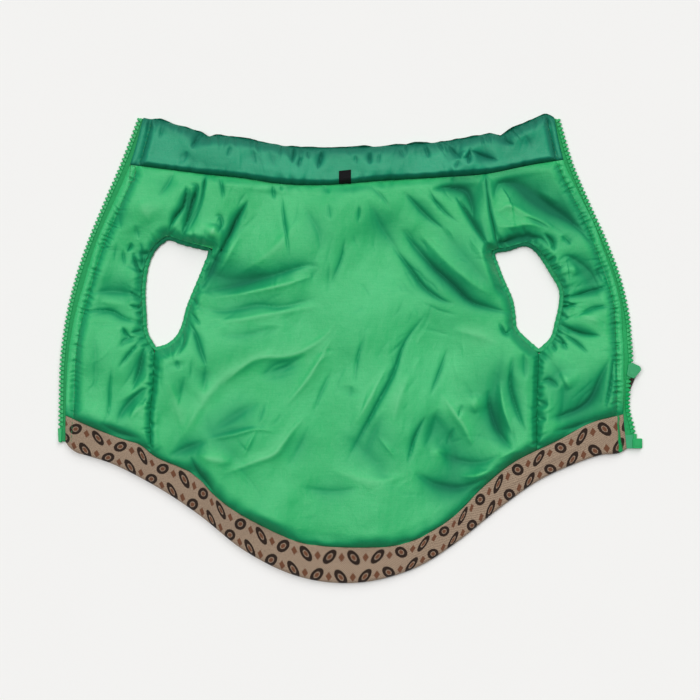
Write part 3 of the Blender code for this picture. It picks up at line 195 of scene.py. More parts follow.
# ---------------------------------------------------------------- folds of the satin
# Each row holds a fold's reach, rise and lean, and then the places on its path. A fold fades at both ends.
# It rises, or sinks where negative, within its reach. Where lean is over 0, it is wider on the left of its
# path and steeper on the right.
BACK_FOLDS = (
    (1.6, -2.2, 0, (-93, 124), (-91, 115), (-90, 106)),
    (2.4, -6.2, 0, (-72, 106), (-80, 94), (-87, 79), (-94, 66)),
    (4.6, -5.3, 0.3, (-87, 78), (-95, 65), (-101, 52), (-107, 42)),
    (1.8, -2.2, 0, (-97, 94), (-93, 95), (-91, 89), (-94, 82)),
    (4.6, 3.1, 0, (-95, 89), (-100, 79)),
    (3.8, 2, 0, (-79, 81), (-87, 66), (-96, 52)),
    (3.4, -2.2, 0, (-105, 114), (-110, 96), (-116, 82)),
    (6, -5, 0.45, (-108, 41), (-86, 44), (-59, 51), (-31, 59), (-20, 58)),
    (3, 2.4, 0, (-99, 36), (-71, 41), (-46, 46), (-26, 52)),
    (4.2, -2.7, 0.2, (-109, 31), (-91, 27), (-65, 31), (-49, 30), (-21, 37)),
    (3.2, 1.7, 0, (-104, 21), (-79, 21), (-63, 24), (-19, 31)),
    (5, -1.4, 0, (-96, 10), (-75, 10), (-50, 16)),
    (3.6, 2.2, 0, (-91, -25), (-66, -7), (-43, -5), (-19, 8), (-9, 21)),
    (6.5, -2.4, 0, (-66, -19), (-48, -14), (-31, -4)),
    (3.2, 2, 0, (-11, 11), (-30, -21), (-47, -42)),
    (1.3, -1.2, 0, (-12, -14), (-21, -32), (-27, -49)),
    (1.4, -1.4, 0, (11, 11), (5, -8), (3, -25)),
    (4, -1.1, 0, (1, -26), (-1, -35)),
    (1.6, -2.5, 0, (-119, 13), (-119, 4), (-123, -6)),
    (2.6, -1.7, 0, (-123, -8), (-122, -15)),
    (2.4, -3.1, 0, (-116, 21), (-110, 11), (-106, -1), (-101, -15)),
    (5, -2.1, 0, (-102, -12), (-103, -22), (-105, -32)),
    (1.4, -2, 0, (-114, 26), (-106, 17)),
    (1.4, -1.7, 0, (-113, 37), (-109, 31)),
    (5, 2, 0, (-66, -6), (-86, -18), (-101, -33), (-111, -48), (-127, -72)),
    (9, -2.4, 0.2, (-62, -37), (-81, -46), (-101, -60)),
    (1.5, 1.9, 0, (-104, -65), (-84, -61), (-66, -57), (-52, -59)),
    (1.5, -1.7, 0, (-99, -61), (-82, -57), (-67, -54)),
    (1.3, 1.2, 0, (-66, -57), (-71, -66), (-76, -77)),
    (1.5, -1.1, 0, (-60, -36), (-66, -55)),
    (3.2, 2.4, 0, (-91, -89), (-67, -80), (-53, -74), (-41, -58), (-29, -45)),
    (4.6, 2.4, 0, (-109, -74), (-99, -78), (-83, -81)),
    (4, -4.8, 0, (-114, -76), (-108, -89), (-96, -104)),
    (6, -3.9, 0, (-130, -77), (-117, -71), (-101, -65)),
    (4, 1.5, 0, (-131, -22), (-124, -36), (-120, -58)),
    (4, -1.3, 0, (-117, -19), (-120, -33), (-124, -45)),
    (2.2, -2.2, 0, (-55, 118), (-54, 106)),
    (1.3, -1.8, 0, (-49, 111), (-47, 91), (-44, 72), (-44, 63)),
    (2, -1.7, 0, (-49, 118), (-49, 112)),
    (1.5, -1.5, 0, (-3, 80), (-6, 64), (-14, 45)),
    (1.1, -1.4, 0, (7, 103), (6, 89)),
    (2.2, -1.1, 0, (-16, 104), (-14, 91)),
    (1.6, -1.4, 0, (-20, 117), (-14, 111)),
    (1.5, -1.3, 0, (14, 117), (24, 107), (29, 99)),
    (5.5, -1.7, 0, (-34, 103), (-23, 84), (-20, 67)),
    (5, 1.7, 0, (-36, 91), (-59, 67), (-83, 52)),
    (3, -3.4, 0, (38, 112), (46, 104), (57, 93), (67, 85)),
    (7, -2.5, 0, (13, 106), (23, 86), (36, 68)),
    (3, -4.2, 0, (30, 74), (44, 56), (53, 44), (67, 34), (76, 32)),
    (4.8, -7, 0.2, (36, 86), (50, 69), (61, 57), (73, 46), (86, 34), (100, 29), (117, 25)),
    (4.2, 2, 0, (49, 84), (64, 67), (84, 49), (101, 38)),
    (1.3, -1.8, 0, (55, 116), (60, 106), (67, 98), (78, 89)),
    (5.2, -7.4, 0.3, (58, 113), (72, 115), (83, 112), (87, 103), (88, 92)),
    (2.8, -5.4, 0.4, (75, 109), (83, 98), (92, 83), (101, 69)),
    (2, -1.4, 0, (102, 46), (115, 39)),
    (1.6, -2.8, 0, (106, 19), (111, 11), (116, 15)),
    (4.6, 1.7, 0, (86, 78), (101, 58), (111, 42)),
    (4.6, 1.5, 0, (73, 14), (93, 9), (107, 3)),
    (1.9, -2.9, 0, (55, 26), (39, 4), (31, -17), (19, -40), (7, -63), (-4, -83)),
    (3.2, 2, 0, (26, -12), (14, -35), (1, -56)),
    (1.5, -1.8, 0, (70, 1), (64, -16), (57, -34)),
    (1.7, -2.7, 0, (54, -48), (46, -64), (41, -83)),
    (8, -2.5, 0, (63, -42), (59, -58), (53, -71)),
    (1.5, 1, 0, (19, -61), (34, -79)),
    (6.5, -1.7, 0, (25, -44), (16, -62), (11, -78)),
    (4, 1.4, 0, (43, -16), (34, -38), (30, -56)),
    (6, -1.4, 0, (-29, -54), (-36, -71), (-46, -86)),
    (1.2, -1.3, 0, (80, -39), (77, -50)),
    (1.2, -1.3, 0, (74, -56), (69, -69)),
    (4, -5, 0, (98, -29), (101, -46), (106, -59), (116, -72)),
    (2.4, -3.4, 0, (116, -4), (114, -24), (119, -44), (125, -61)),
    (4.5, -2.2, 0, (124, -2), (125, -22)),
    (3, 2.5, 0, (107, -22), (109, -42), (116, -61)),
    (4, 2.6, 0, (66, -32), (72, -42), (81, -55), (88, -70)),
    (4.5, 2, 0, (89, -31), (89, -46)),
    (5.5, -3.4, 0, (62, -72), (78, -80), (94, -81), (108, -75)),
    (3, 2.4, 0, (78, -91), (90, -90), (104, -84)),
    (8, -6.2, 0, (46, -88), (62, -97), (80, -99), (99, -91)),
    (5, -2.2, 0, (-36, -98), (-14, -102), (7, -99)),
    (5, 1.7, 0, (-14, -86), (16, -94), (43, -89)),
    (5, 1.5, 0, (57, -76), (69, -71)),
    (13, -2.6, 0, (58, -46), (72, -68), (74, -98)),
    (12, -3, 0, (108, 0), (103, -36), (112, -74)),
    (11, -3, 0, (-112, 62), (-88, 50), (-56, 53)),
    (13, -2.2, 0, (-10, -58), (16, -78), (34, -104)),
    (14, -1.8, 0, (-112, -30), (-96, -62), (-70, -86)),
    (12, -2.2, 0, (60, 92), (84, 62), (108, 36)),
)
FRONT_LEFT_FOLDS = (
    (2.2, -5.9, 0, (-114, 119), (-109, 116), (-113, 103), (-116, 91), (-120, 81)),
    (1.8, -4.8, 0, (-116, 118), (-117, 108), (-119, 101), (-125, 93), (-129, 83)),
    (3, -2.2, 0, (-114, 116), (-115, 106), (-116, 98)),
    (1.5, -2.2, 0, (-156, 76), (-157, 72), (-159, 69)),
    (1.8, -3.6, 0, (-155, 69), (-153, 61), (-148, 52)),
    (3.6, -3.1, 0, (-150, 76), (-148, 66), (-145, 55)),
    (1.6, -1.4, 0, (-162, 71), (-161, 59)),
    (2.2, -0.8, 0, (-166, 76), (-168, 62)),
    (3.2, -1.3, 0, (-153, 88), (-151, 78)),
    (6.5, -3.6, 0.3, (-186, 40), (-168, 41), (-148, 38)),
    (3, -3.1, 0.2, (-190, 27), (-171, 27), (-161, 22), (-150, 19)),
    (1.4, -2.2, 0, (-158, 31), (-149, 29)),
    (1.5, -2, 0, (-158, 41), (-148, 35)),
    (1.6, -2.7, 0, (-162, 16), (-159, 10), (-156, 8)),
    (1.4, -2.2, 0, (-157, 11), (-146, 14)),
    (1.4, -2, 0, (-163, 1), (-161, 6), (-150, 9)),
    (1.3, -2.1, 0, (-146, 9), (-156, -2), (-165, -14)),
    (3.8, -4.5, 0, (-145, 4), (-148, -6), (-151, -18), (-156, -30)),
    (1.6, -1.7, 0, (-169, -12), (-171, -28), (-172, -44), (-175, -54)),
    (5, -3.9, 0.2, (-141, -26), (-151, -32), (-162, -44), (-166, -54)),
    (3.6, 2.4, 0, (-142, -35), (-153, -45), (-156, -51)),
    (3.5, 1.7, 0, (-143, -17), (-151, -28), (-166, -38)),
    (5, -3.4, 0, (-178, -53), (-165, -60), (-149, -64)),
    (4.5, 1.5, 0, (-178, 34), (-161, 32)),
    (6, 1.4, 0, (-150, 106), (-141, 89)),
    (5, -1.1, 0, (-166, 99), (-163, 84)),
    (3, -1.8, 0, (-125, 128), (-130, 117), (-136, 109)),
    (4, -1.1, 0, (-182, 14), (-181, -11), (-183, -33)),
)
FRONT_RIGHT_FOLDS = (
    (
        8, -9.6, 0.15,
        (102, 106), (107, 118), (118, 117), (130, 108),
        (143, 100), (155, 93), (166, 83), (174, 73),
    ),
    (3.6, 2.6, 0, (104, 96), (113, 102), (128, 95), (146, 86)),
    (2.6, 2, 0, (104, 88), (113, 87), (128, 89), (139, 86)),
    (1.8, -2, 0, (124, 94), (133, 91), (142, 86)),
    (4.6, -7.4, 0, (96, 76), (108, 76), (122, 79), (136, 79), (142, 72)),
    (2, -3.9, 0, (138, 83), (144, 77), (145, 69)),
    (2.8, -2.1, 0, (151, 81), (157, 74)),
    (5.4, -3.4, 0, (147, 60), (154, 66), (163, 62), (172, 54), (178, 42)),
    (4, 1.7, 0, (159, 61), (161, 52)),
    (2.2, -4.2, 0.2, (154, 36), (160, 38), (171, 41), (187, 46)),
    (2, -2.8, 0.2, (157, 23), (164, 25), (173, 29), (188, 31)),
    (1.3, -2.2, 0, (146, 46), (154, 49)),
    (1.3, -2.2, 0, (148, 35), (157, 38)),
    (1.3, -2, 0, (149, 29), (158, 31)),
    (1.4, -2.1, 0, (144, 55), (150, 59)),
    (1.4, -2.1, 0, (141, 62), (147, 66)),
    (2.2, -4.5, 0, (147, 19), (158, 14), (167, 11), (179, 9)),
    (1.6, -2.8, 0, (147, 11), (151, 6), (155, -1)),
    (1.5, -2.5, 0, (150, 12), (161, 5), (170, -4)),
    (1.4, -2, 0, (144, 5), (147, -2)),
    (6, -6.2, 0, (185, -6), (178, -22), (171, -37), (159, -45), (141, -50)),
    (1.6, -3.4, 0, (188, -5), (186, -24), (181, -44)),
    (3, -3.4, 0, (135, -24), (142, -22), (149, -28)),
    (2.4, -2.8, 0, (134, -38), (141, -40)),
    (2.4, -2, 0, (134, -49), (140, -51)),
    (5, 2.7, 0, (150, -16), (157, -29)),
    (4, 2, 0, (159, 26), (181, 19)),
    (5.5, -3.4, 0, (144, -59), (161, -56), (178, -51)),
    (4, -2.2, 0, (176, 58), (181, 48)),
    (4, 1.5, 0, (133, 114), (150, 104)),
    (3, -1.3, 0, (136, -1), (144, -9)),
    (9, -3, 0, (140, -4), (152, -26), (150, -54)),
    (9, -2.4, 0, (156, 66), (168, 52), (178, 34)),
)
COLLAR_FOLDS = (
    (3.4, -4.2, 0, (-105, 157), (-109, 150), (-113, 142)),
    (2.2, -1.4, 0, (-116, 141), (-119, 133)),
    (2.2, -1.4, 0, (-133, 160), (-136, 149)),
    (3.2, -1.7, 0, (-70, 144), (-67, 131)),
    (1.9, -3.4, 0, (-39, 146), (-41, 132)),
    (1.8, -1.7, 0, (-34, 139), (-37, 129)),
    (1.8, -3.6, 0, (-19, 144), (-23, 128)),
    (1.6, -1.3, 0, (-30, 142), (-29, 135)),
    (1.5, -1.3, 0, (4, 139), (4, 131)),
    (2.2, -3.1, 0, (14, 142), (14, 131)),
    (1.5, -1.5, 0, (21, 141), (20, 131)),
    (3, -2, 0, (34, 144), (39, 136)),
    (3, -1.7, 0, (54, 145), (56, 136)),
    (3.2, -3.9, 0, (69, 146), (74, 140), (79, 135)),
    (2.4, -4.2, 0, (86, 141), (94, 138), (106, 134)),
    (1.8, -3.1, 0, (86, 144), (84, 131)),
    (2.6, -3.1, 0, (110, 154), (111, 148), (117, 145)),
    (1.8, -1.7, 0, (77, 135), (75, 128)),
    (2, -1.4, 0, (-84, 146), (-87, 136)),
    (3, 1.7, 0, (80, 141), (83, 136)),
    (4, -1.3, 0, (-57, 142), (-53, 129)),
    (4, -1.3, 0, (125, 152), (130, 141)),
)
FACING_FOLDS = (
    (1.3, 0.7, 0, (96, -109), (116, -96), (134, -85), (160, -71), (192, -60)),
    (2, -0.5, 0, (-196, -58), (-160, -72), (-128, -92), (-96, -114)),
    (2.4, -0.5, 0, (-60, -138), (-20, -152), (24, -151), (60, -136)),
)

# The facing gapes along this line near its right end, and the green lining shows there.
SLIT = ((192.2, -46.5), (191.7, -54.0), (192.5, -63.0), (193.6, -72.5))
SLIT_HALF, SLIT_WIDENS, SLIT_SOFT, SLIT_DEEP = 0.35, 1.0, 0.5, 1.2

# How the faint creases run, in degrees from X: x, y, heading.
BACK_HEADINGS = (
    (-80, 40, 18), (-70, 90, 62), (-40, 60, 80), (0, 90, 96), (40, 100, 122), (60, 60, 132), (95, 35, 150),
    (-80, -40, 38), (-30, 0, 30), (-20, -50, 62), (20, -20, 64), (50, -50, 68), (110, -40, 102), (0, -90, 12),
    (-100, -80, 150), (80, -90, 20), (90, 90, 118), (-130, -40, 92),
)
FRONT_LEFT_HEADINGS = ((-130, 110, 62), (-165, 100, 100), (-165, 40, 5), (-160, 0, 40), (-155, -40, 55))
FRONT_RIGHT_HEADINGS = ((120, 100, 150), (150, 90, 142), (160, 50, 25), (165, 10, 155), (160, -40, 40))
COLLAR_HEADINGS = ((-130, 150, 85), (-60, 140, 92), (0, 138, 88), (60, 142, 95), (120, 150, 75))
# The padded pieces: full is the padding's height, fill how full it is, and scallop how far its top waves.
Padded = namedtuple("Padded", "node edges step full folds headings slot fill scallop")
PADDED = (
    Padded("lining_back", BACK_EDGES, BACK_STEP, 8.6, BACK_FOLDS, BACK_HEADINGS, "lining_satin", 0.45, 0.0),
    Padded(
        "lining_front_left", FRONT_LEFT_EDGES, FRONT_STEP, 7.8, FRONT_LEFT_FOLDS, FRONT_LEFT_HEADINGS,
        "lining_satin", 0.45, 0.0,
    ),
    Padded(
        "lining_front_right", FRONT_RIGHT_EDGES, FRONT_STEP, 7.8, FRONT_RIGHT_FOLDS, FRONT_RIGHT_HEADINGS,
        "lining_satin", 0.45, 0.0,
    ),
    Padded(
        "collar_lining", COLLAR_EDGES, COLLAR_STEP, 9.0, COLLAR_FOLDS, COLLAR_HEADINGS,
        "collar_satin", 0.6, 0.5,
    ),
)


# ---------------------------------------------------------------- lines
# How many places are measured in one go.
AT_ONCE = 6000


def lengths(line):
    return np.concatenate([[0.0], np.cumsum(np.linalg.norm(np.diff(line, axis=0), axis=1))])


def resampled(line, count):
    """The line with this many equal steps."""
    along = lengths(line)
    wanted = np.linspace(0, along[-1], count + 1)
    return np.stack([np.interp(wanted, along, line[:, k]) for k in range(line.shape[1])], axis=1)


def stretch(before, start, end, after, count):
    """The steps of a smooth curve from start to end, which heads for its neighbours."""
    pairs = ((before, start), (start, end), (end, after))
    steps = [max(np.linalg.norm(b - a) ** 0.5, 1e-3) for a, b in pairs]
    t0, t1, t2, t3 = np.cumsum([0.0] + steps)
    t = np.linspace(t1, t2, count + 1)[1:, None]
    a1 = (t1 - t) / (t1 - t0) * before + (t - t0) / (t1 - t0) * start
    a2 = (t2 - t) / (t2 - t1) * start + (t - t1) / (t2 - t1) * end
    a3 = (t3 - t) / (t3 - t2) * end + (t - t2) / (t3 - t2) * after
    b1 = (t2 - t) / (t2 - t0) * a1 + (t - t0) / (t2 - t0) * a2
    b2 = (t3 - t) / (t3 - t1) * a2 + (t - t1) / (t3 - t1) * a3
    return (t2 - t) / (t2 - t1) * b1 + (t - t1) / (t2 - t1) * b2


def rounded(points, counts, sharp=SHARP_TURN):
    """The line with so many steps in each of its stretches, smooth but for its sharp turns."""
    points = np.asarray(points, float)
    ahead = np.diff(points[:, :2], axis=0)
    heading = np.arctan2(ahead[:, 1], ahead[:, 0])
    turns = np.abs((np.diff(heading) + np.pi) % (2 * np.pi) - np.pi)
    stops = np.concatenate([[True], turns > sharp, [True]])
    line = [points[:1]]
    for i, count in enumerate(counts):
        start, end = points[i], points[i + 1]
        before = 2 * start - end if stops[i] else points[i - 1]
        after = 2 * end - start if stops[i + 1] else points[i + 2]
        line.append(stretch(before, start, end, after, count))
    return np.vstack(line)


def step_counts(lines, step):
    """How many steps each stretch needs, shared by lines whose points pair up."""
    longest = np.max([np.linalg.norm(np.diff(line, axis=0), axis=1) for line in lines], axis=0)
    return np.maximum(1, np.ceil(longest / step)).astype(int)


def offset(line, gap):
    """An open line moved to its right by the gap, or to its left where negative."""
    ahead = np.gradient(line[:, :2], axis=0)
    ahead /= np.maximum(np.linalg.norm(ahead, axis=1, keepdims=True), 1e-9)
    moved = line.copy()
    moved[:, :2] += gap * np.stack([ahead[:, 1], -ahead[:, 0]], axis=1)
    return moved


def beside(places, line):
    """For each place: its distance from the line, its side, and the share of the line passed there."""
    a, b = line[:-1, :2], line[1:, :2]
    along = lengths(line[:, :2])
    step = b - a
    size = np.maximum((step**2).sum(-1), 1e-9)
    flat = places.reshape(-1, 2)
    far, side, share = (np.empty(len(flat)) for _ in range(3))
    for first in range(0, len(flat), AT_ONCE):
        part = slice(first, first + AT_ONCE)
        reach = flat[part, None] - a
        t = np.clip((reach * step).sum(-1) / size, 0, 1)
        gap = np.linalg.norm(reach - t[..., None] * step, axis=-1)
        best = gap.argmin(axis=1)
        row = np.arange(len(best))
        far[part] = gap[row, best]
        side[part] = step[best, 0] * reach[row, best, 1] - step[best, 1] * reach[row, best, 0]
        share[part] = (along[best] + t[row, best] * np.sqrt(size[best])) / along[-1]
    shape = places.shape[:-1]
    return far.reshape(shape), side.reshape(shape), share.reshape(shape)


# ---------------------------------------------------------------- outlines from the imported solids
def underside(shape):
    """The faces that look down and hang together with the lowest one."""
    facing_down = {face for face in shape.faces if face.normal.z < -0.5}
    found, waiting = set(), [min(facing_down, key=lambda face: face.calc_center_median().z)]
    while waiting:
        face = waiting.pop()
        if face in found:
            continue
        found.add(face)
        waiting += [other for edge in face.edges for other in edge.link_faces if other in facing_down]
    return found


def from_the_top(loop):
    """A closed loop that starts at its highest point, seen from above."""
    return np.roll(loop, -int(loop[:, 1].argmax()), axis=0)


def rims(node):
    """The outlines of a node's underside, longest first, clockwise from above where they are outer ones."""
    shape = bmesh.new()
    shape.from_mesh(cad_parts[node].data)
    bmesh.ops.remove_doubles(shape, verts=shape.verts, dist=MERGE * MM)
    shape.normal_update()
    under = underside(shape)
    ahead = {}
    for face in under:
        for corner in face.loops:
            if sum(other in under for other in corner.edge.link_faces) == 1:
                ahead[corner.vert] = corner.link_loop_next.vert
    loops = []
    while ahead:
        start, vert = ahead.popitem()
        loop = [start]
        while vert is not start:
            loop.append(vert)
            vert = ahead.pop(vert)
        loops.append(from_the_top(np.array([point.co for point in loop]) / MM))
    shape.free()
    return sorted(loops, key=lambda loop: -lengths(loop)[-1])


def nearest(points, place):
    return int(np.linalg.norm(points[:, :2] - np.asarray(place), axis=1).argmin())


def outline_lines(node, edges, grow):
    """The line of each edge of a piece, from the node's outline moved out by grow."""
    loop = rims(node)[0]
    closed = np.vstack([loop[-1:], loop, loop[:1]])
    loop = offset(closed, -grow)[1:-1]
    loop = np.roll(loop, -nearest(loop, edges[0].start), axis=0)
    loop = np.vstack([loop, loop[:1]])
    starts = [0] + [nearest(loop[:-1], edge.start) for edge in edges[1:]] + [len(loop) - 1]
    return [loop[first : last + 1] for first, last in zip(starts, starts[1:])]


def joined(lines):
    return np.vstack([lines[0]] + [line[1:] for line in lines[1:]])


def grid_sides(edges, lines):
    """A piece's top and bottom, which run from its left, and its left and right, which run from its top."""
    corners = [i for i, edge in enumerate(edges) if edge.corner] + [len(edges)]
    top, right, bottom, left = (joined(lines[a:b]) for a, b in zip(corners, corners[1:]))
    return top, bottom[::-1], left[::-1], right


def plain_edges(corners):
    """Edges of a piece that lies flat: only where each starts."""
    return [Edge(corner, True, 0, 1) for corner in corners]


def fine_pair(first, second, step):
    """Two facing sides with as many points each: paired as in the solid, or else evenly."""
    if len(first) == len(second):
        counts = step_counts((first, second), step)
        return rounded(first, counts), rounded(second, counts)
    fine = [rounded(line, step_counts((line,), step)) for line in (first, second)]
    count = math.ceil(max(lengths(line)[-1] for line in fine) / step)
    return [resampled(line, count) for line in fine]


def patch(top, bottom, left, right):
    """The grid of points between four sides, [row, column, xyz]."""
    u = ((lengths(top) / lengths(top)[-1] + lengths(bottom) / lengths(bottom)[-1]) / 2)[None, :, None]
    v = ((lengths(left) / lengths(left)[-1] + lengths(right) / lengths(right)[-1]) / 2)[:, None, None]
    ends = (1 - v) * top[None] + v * bottom[None]
    sides = (1 - u) * left[:, None] + u * right[:, None]
    twisted = (1 - v) * ((1 - u) * top[0] + u * top[-1]) + v * ((1 - u) * bottom[0] + u * bottom[-1])
    return ends + sides - twisted


def fine_grid(node, edges, step, grow=SEAM_OVERLAP):
    """A fine grid over a node's underside, and the line of each edge."""
    lines = outline_lines(node, edges, grow)
    top, bottom, left, right = grid_sides(edges, lines)
    top, bottom = fine_pair(top, bottom, step)
    left, right = fine_pair(left, right, step)
    return patch(top, bottom, left, right), lines


def boundary(grid):
    """The closed outline of a grid, clockwise from its first entry."""
    return np.concatenate([grid[0, :-1], grid[:-1, -1], grid[-1, :0:-1], grid[:0:-1, 0]])


# ---------------------------------------------------------------- heights of the cloth
def smooth_step(share):
    share = np.clip(share, 0, 1)
    return share * share * (3 - 2 * share)


def swell(share, low):
    """How padding rises from an edge: steep at first where the edge is low, and then level."""
    share = np.clip(share, 0, 1)
    return (1 - (1 - share) ** 2) ** (0.7 if low < GENTLE_ABOVE else 1.0)


def puffed(full, edges, distances):
    """The padding's height, pulled down towards each of its edges and lines of topstitching."""
    short = 0.0
    for edge, far in zip(edges, distances):
        gap = (full - edge.low) * (1 - swell((far - edge.stitched) / edge.reach, edge.low))
        if edge.stitched:
            gap = gap - RIB_HIGH * np.sin(np.pi * np.clip(far / edge.stitched, 0, 1)) ** 0.7
        short = short + np.maximum(gap, 0.0) ** 3
    return full - np.cbrt(short)


def fold_relief(places, folds):
    """The folds' own rise and fall. A sunk one is a sharp valley between soft banks."""
    total = np.zeros(places.shape[:-1])
    for reach, rise, lean, *path in folds:
        path = np.array(path, float)
        line = rounded(path, step_counts((path,), FOLD_STEP), math.pi)
        widest = FOLD_SPREAD * reach * (1 + abs(lean))
        low, high = line.min(axis=0) - widest, line.max(axis=0) + widest
        near = ((places > low) & (places < high)).all(axis=-1)
        if not near.any():
            continue
        far, side, share = beside(places[near], line)
        fade = np.sin(np.pi * np.clip(share, 0.0, 1.0)) ** 1.1
        across = far / (reach * np.where(side > 0, 1 + lean, 1 - lean) * (0.4 + 0.6 * fade))
        blunt = VALLEY_BLUNT if rise < 0 else RIDGE_BLUNT
        sharp = np.exp(-2.6 * (np.sqrt(across**2 + blunt**2) - blunt))
        total[near] += rise * fade * (0.6 * sharp + 0.4 * np.exp(-((across / 1.9) ** 2)))
    return total


def fine_creases(places, headings, rng):
    """Short faint creases at random places. Each runs in about the heading noted nearest to it."""
    low, high = places.reshape(-1, 2).min(axis=0), places.reshape(-1, 2).max(axis=0)
    noted = np.array([(x, y) for x, y, _ in headings], float)
    creases = []
    for _ in range(int(np.ptp(places[..., 0]) * np.ptp(places[..., 1]) / CREASE_ROOM)):
        start = rng.uniform(low, high)
        nearest_noted = np.linalg.norm(noted - start, axis=1).argmin()
        turn = math.radians(headings[nearest_noted][2] + rng.normal(0, CREASE_STRAY))
        long = rng.uniform(*CREASE_LONG)
        ahead = np.array([math.cos(turn), math.sin(turn)])
        aside = np.array([-ahead[1], ahead[0]]) * rng.uniform(-CREASE_BEND, CREASE_BEND) * long
        path = (start, start + ahead * long / 2 + aside, start + ahead * long)
        rise = rng.choice((-1.0, -1.0, 0.7)) * rng.uniform(*CREASE_RISE)
        creases.append((rng.uniform(*CREASE_REACH), rise, rng.uniform(-CREASE_LEAN, CREASE_LEAN), *path))
    return tuple(creases)


def gather_relief(edge, line, far, share, rng):
    """Uneven creases that start from an edge, or from its topstitching, and die away."""
    total = np.zeros(far.shape)
    if not edge.pitch:
        return total
    long = lengths(line[:, :2])[-1]
    along = share * long
    away = np.abs(far - edge.stitched) if edge.stitched else far
    place = rng.uniform(0.3, 1.0) * edge.pitch
    while place < long:
        pitch = edge.pitch * rng.uniform(0.55, 1.45)
        depth = edge.depth * rng.uniform(0.15, 1.6)
        fade = edge.fade * rng.uniform(0.5, 1.5)
        slant = rng.uniform(-GATHER_SLANT, GATHER_SLANT)
        across = np.abs(along - place + slant * away) / (GATHER_WIDE * pitch)
        close = across < 4
        valley = np.exp(-across[close] ** 1.3) - 0.35 * np.exp(-((across[close] - 1.5) ** 2))
        total[close] -= depth * valley * np.exp(-((away[close] / fade) ** 1.5))
        place += pitch
    return total


def ripples(places, rng, waves):
    """Faint uneven undulations, as cloth over wadding has."""
    count, shortest, longest, depth = waves
    total = np.zeros(places.shape[:-1])
    for _ in range(count):
        turn = rng.uniform(0, np.pi)
        long = rng.uniform(shortest, longest)
        bend = rng.uniform(0.4, 1.4)
        x = places[..., 0] * math.cos(turn) + places[..., 1] * math.sin(turn)
        y = places[..., 1] * math.cos(turn) - places[..., 0] * math.sin(turn)
        phase = rng.uniform(0, 2 * np.pi)
        total += depth * np.sin(2 * np.pi * x / long + bend * np.sin(2 * np.pi * y / (2.3 * long)) + phase)
    return total / math.sqrt(count)


def slope(height, places):
    """How steeply the cloth falls at each point of its grid."""
    falls = []
    for axis in (0, 1):
        apart = np.linalg.norm(np.gradient(places, axis=axis), axis=-1)
        falls.append(np.gradient(height, axis=axis) / np.maximum(apart, 0.2))
    return np.hypot(*falls)


def padded_height(grid, edges, lines, full, folds, headings, seed):
    """A padded piece's thickness at each point of its grid, and the painted shading on its green there.

    That is 1 for the darkest painted shade in a sunk hollow, 0 on level cloth, and below 0 for a painted
    highlight on a raised fold.
    """
    rng = np.random.default_rng(seed)
    places = grid[..., :2]
    measured = [beside(places, line) for line in lines]
    distances = [far for far, _, _ in measured]
    gathers = sum(
        gather_relief(edge, line, far, share, rng)
        for edge, line, (far, _, share) in zip(edges, lines, measured)
    )
    inside = np.min(distances, axis=0)
    creased = fold_relief(places, folds + fine_creases(places, headings, rng))
    waves = ripples(places, rng, BROAD_WAVES) + ripples(places, rng, SMALL_WAVES)
    height = puffed(full, edges, distances) + creased * smooth_step(inside / 3.0 + 0.25)
    height = height + waves * smooth_step(inside / 9.0) + gathers * smooth_step(inside / 1.2 + 0.3)

    # Painted shade on steep slopes, where the satin rolls down to a darkened edge, and in sunk folds and
    # gathers; a painted highlight on raised folds.
    painted_flank_shade = FLANK_PAINTED_SHADE * smooth_step((slope(height, places) - 0.1) / FLANK_STEEP)
    for edge, far in zip(edges, distances):
        if not edge.dark:
            painted_flank_shade = painted_flank_shade * smooth_step(far / edge.reach)
    rolls = [edge.dark * (1 - smooth_step(far / (1.1 * edge.reach))) for edge, far in zip(edges, distances)]
    painted_roll_shade = np.max(rolls, axis=0)
    sunk = HOLLOW_PAINTED_SHADE * np.clip(-(creased + gathers) / HOLLOW_DEEP, 0, 1) ** 1.1
    hollows = 1 - (1 - sunk) * (1 - painted_roll_shade) * (1 - painted_flank_shade)
    hollows -= RIDGE_PAINTED_HIGHLIGHT * np.clip(creased / RIDGE_HIGH, 0, 1) * (1 - painted_roll_shade)
    return THINNEST + SOFTEST * np.logaddexp(0.0, (height - THINNEST) / SOFTEST), hollows


# ---------------------------------------------------------------- meshes
def placed(name, data):
    """An object in the scene, at the origin."""
    made = bpy.data.objects.new(name, data)
    bpy.context.scene.collection.objects.link(made)
    return made


def mesh_of(name, shape):
    """A mesh with the faces of a worked-out shape."""
    mesh = bpy.data.meshes.new(name)
    shape.to_mesh(mesh)
    shape.free()
    return mesh


def finished(name, mesh, finish, smooth_angle=50):
    """A piece with its finish, smooth but for its sharp edges."""
    mesh.materials.append(finish)
    mesh.shade_smooth()
    mesh.set_sharp_from_angle(angle=math.radians(smooth_angle))
    return placed(name, mesh)


def mesh_object(name, points, faces, finish, smooth_angle=50):
    """A piece from points in millimetres."""
    mesh = bpy.data.meshes.new(name)
    mesh.from_pydata((np.asarray(points) * MM).tolist(), [], faces)
    return finished(name, mesh, finish, smooth_angle)


def quads(number):
    """The faces of a numbered grid, facing up."""
    corners = (number[:-1, :-1], number[1:, :-1], number[1:, 1:], number[:-1, 1:])
    return np.stack([corner.ravel() for corner in corners], axis=1)


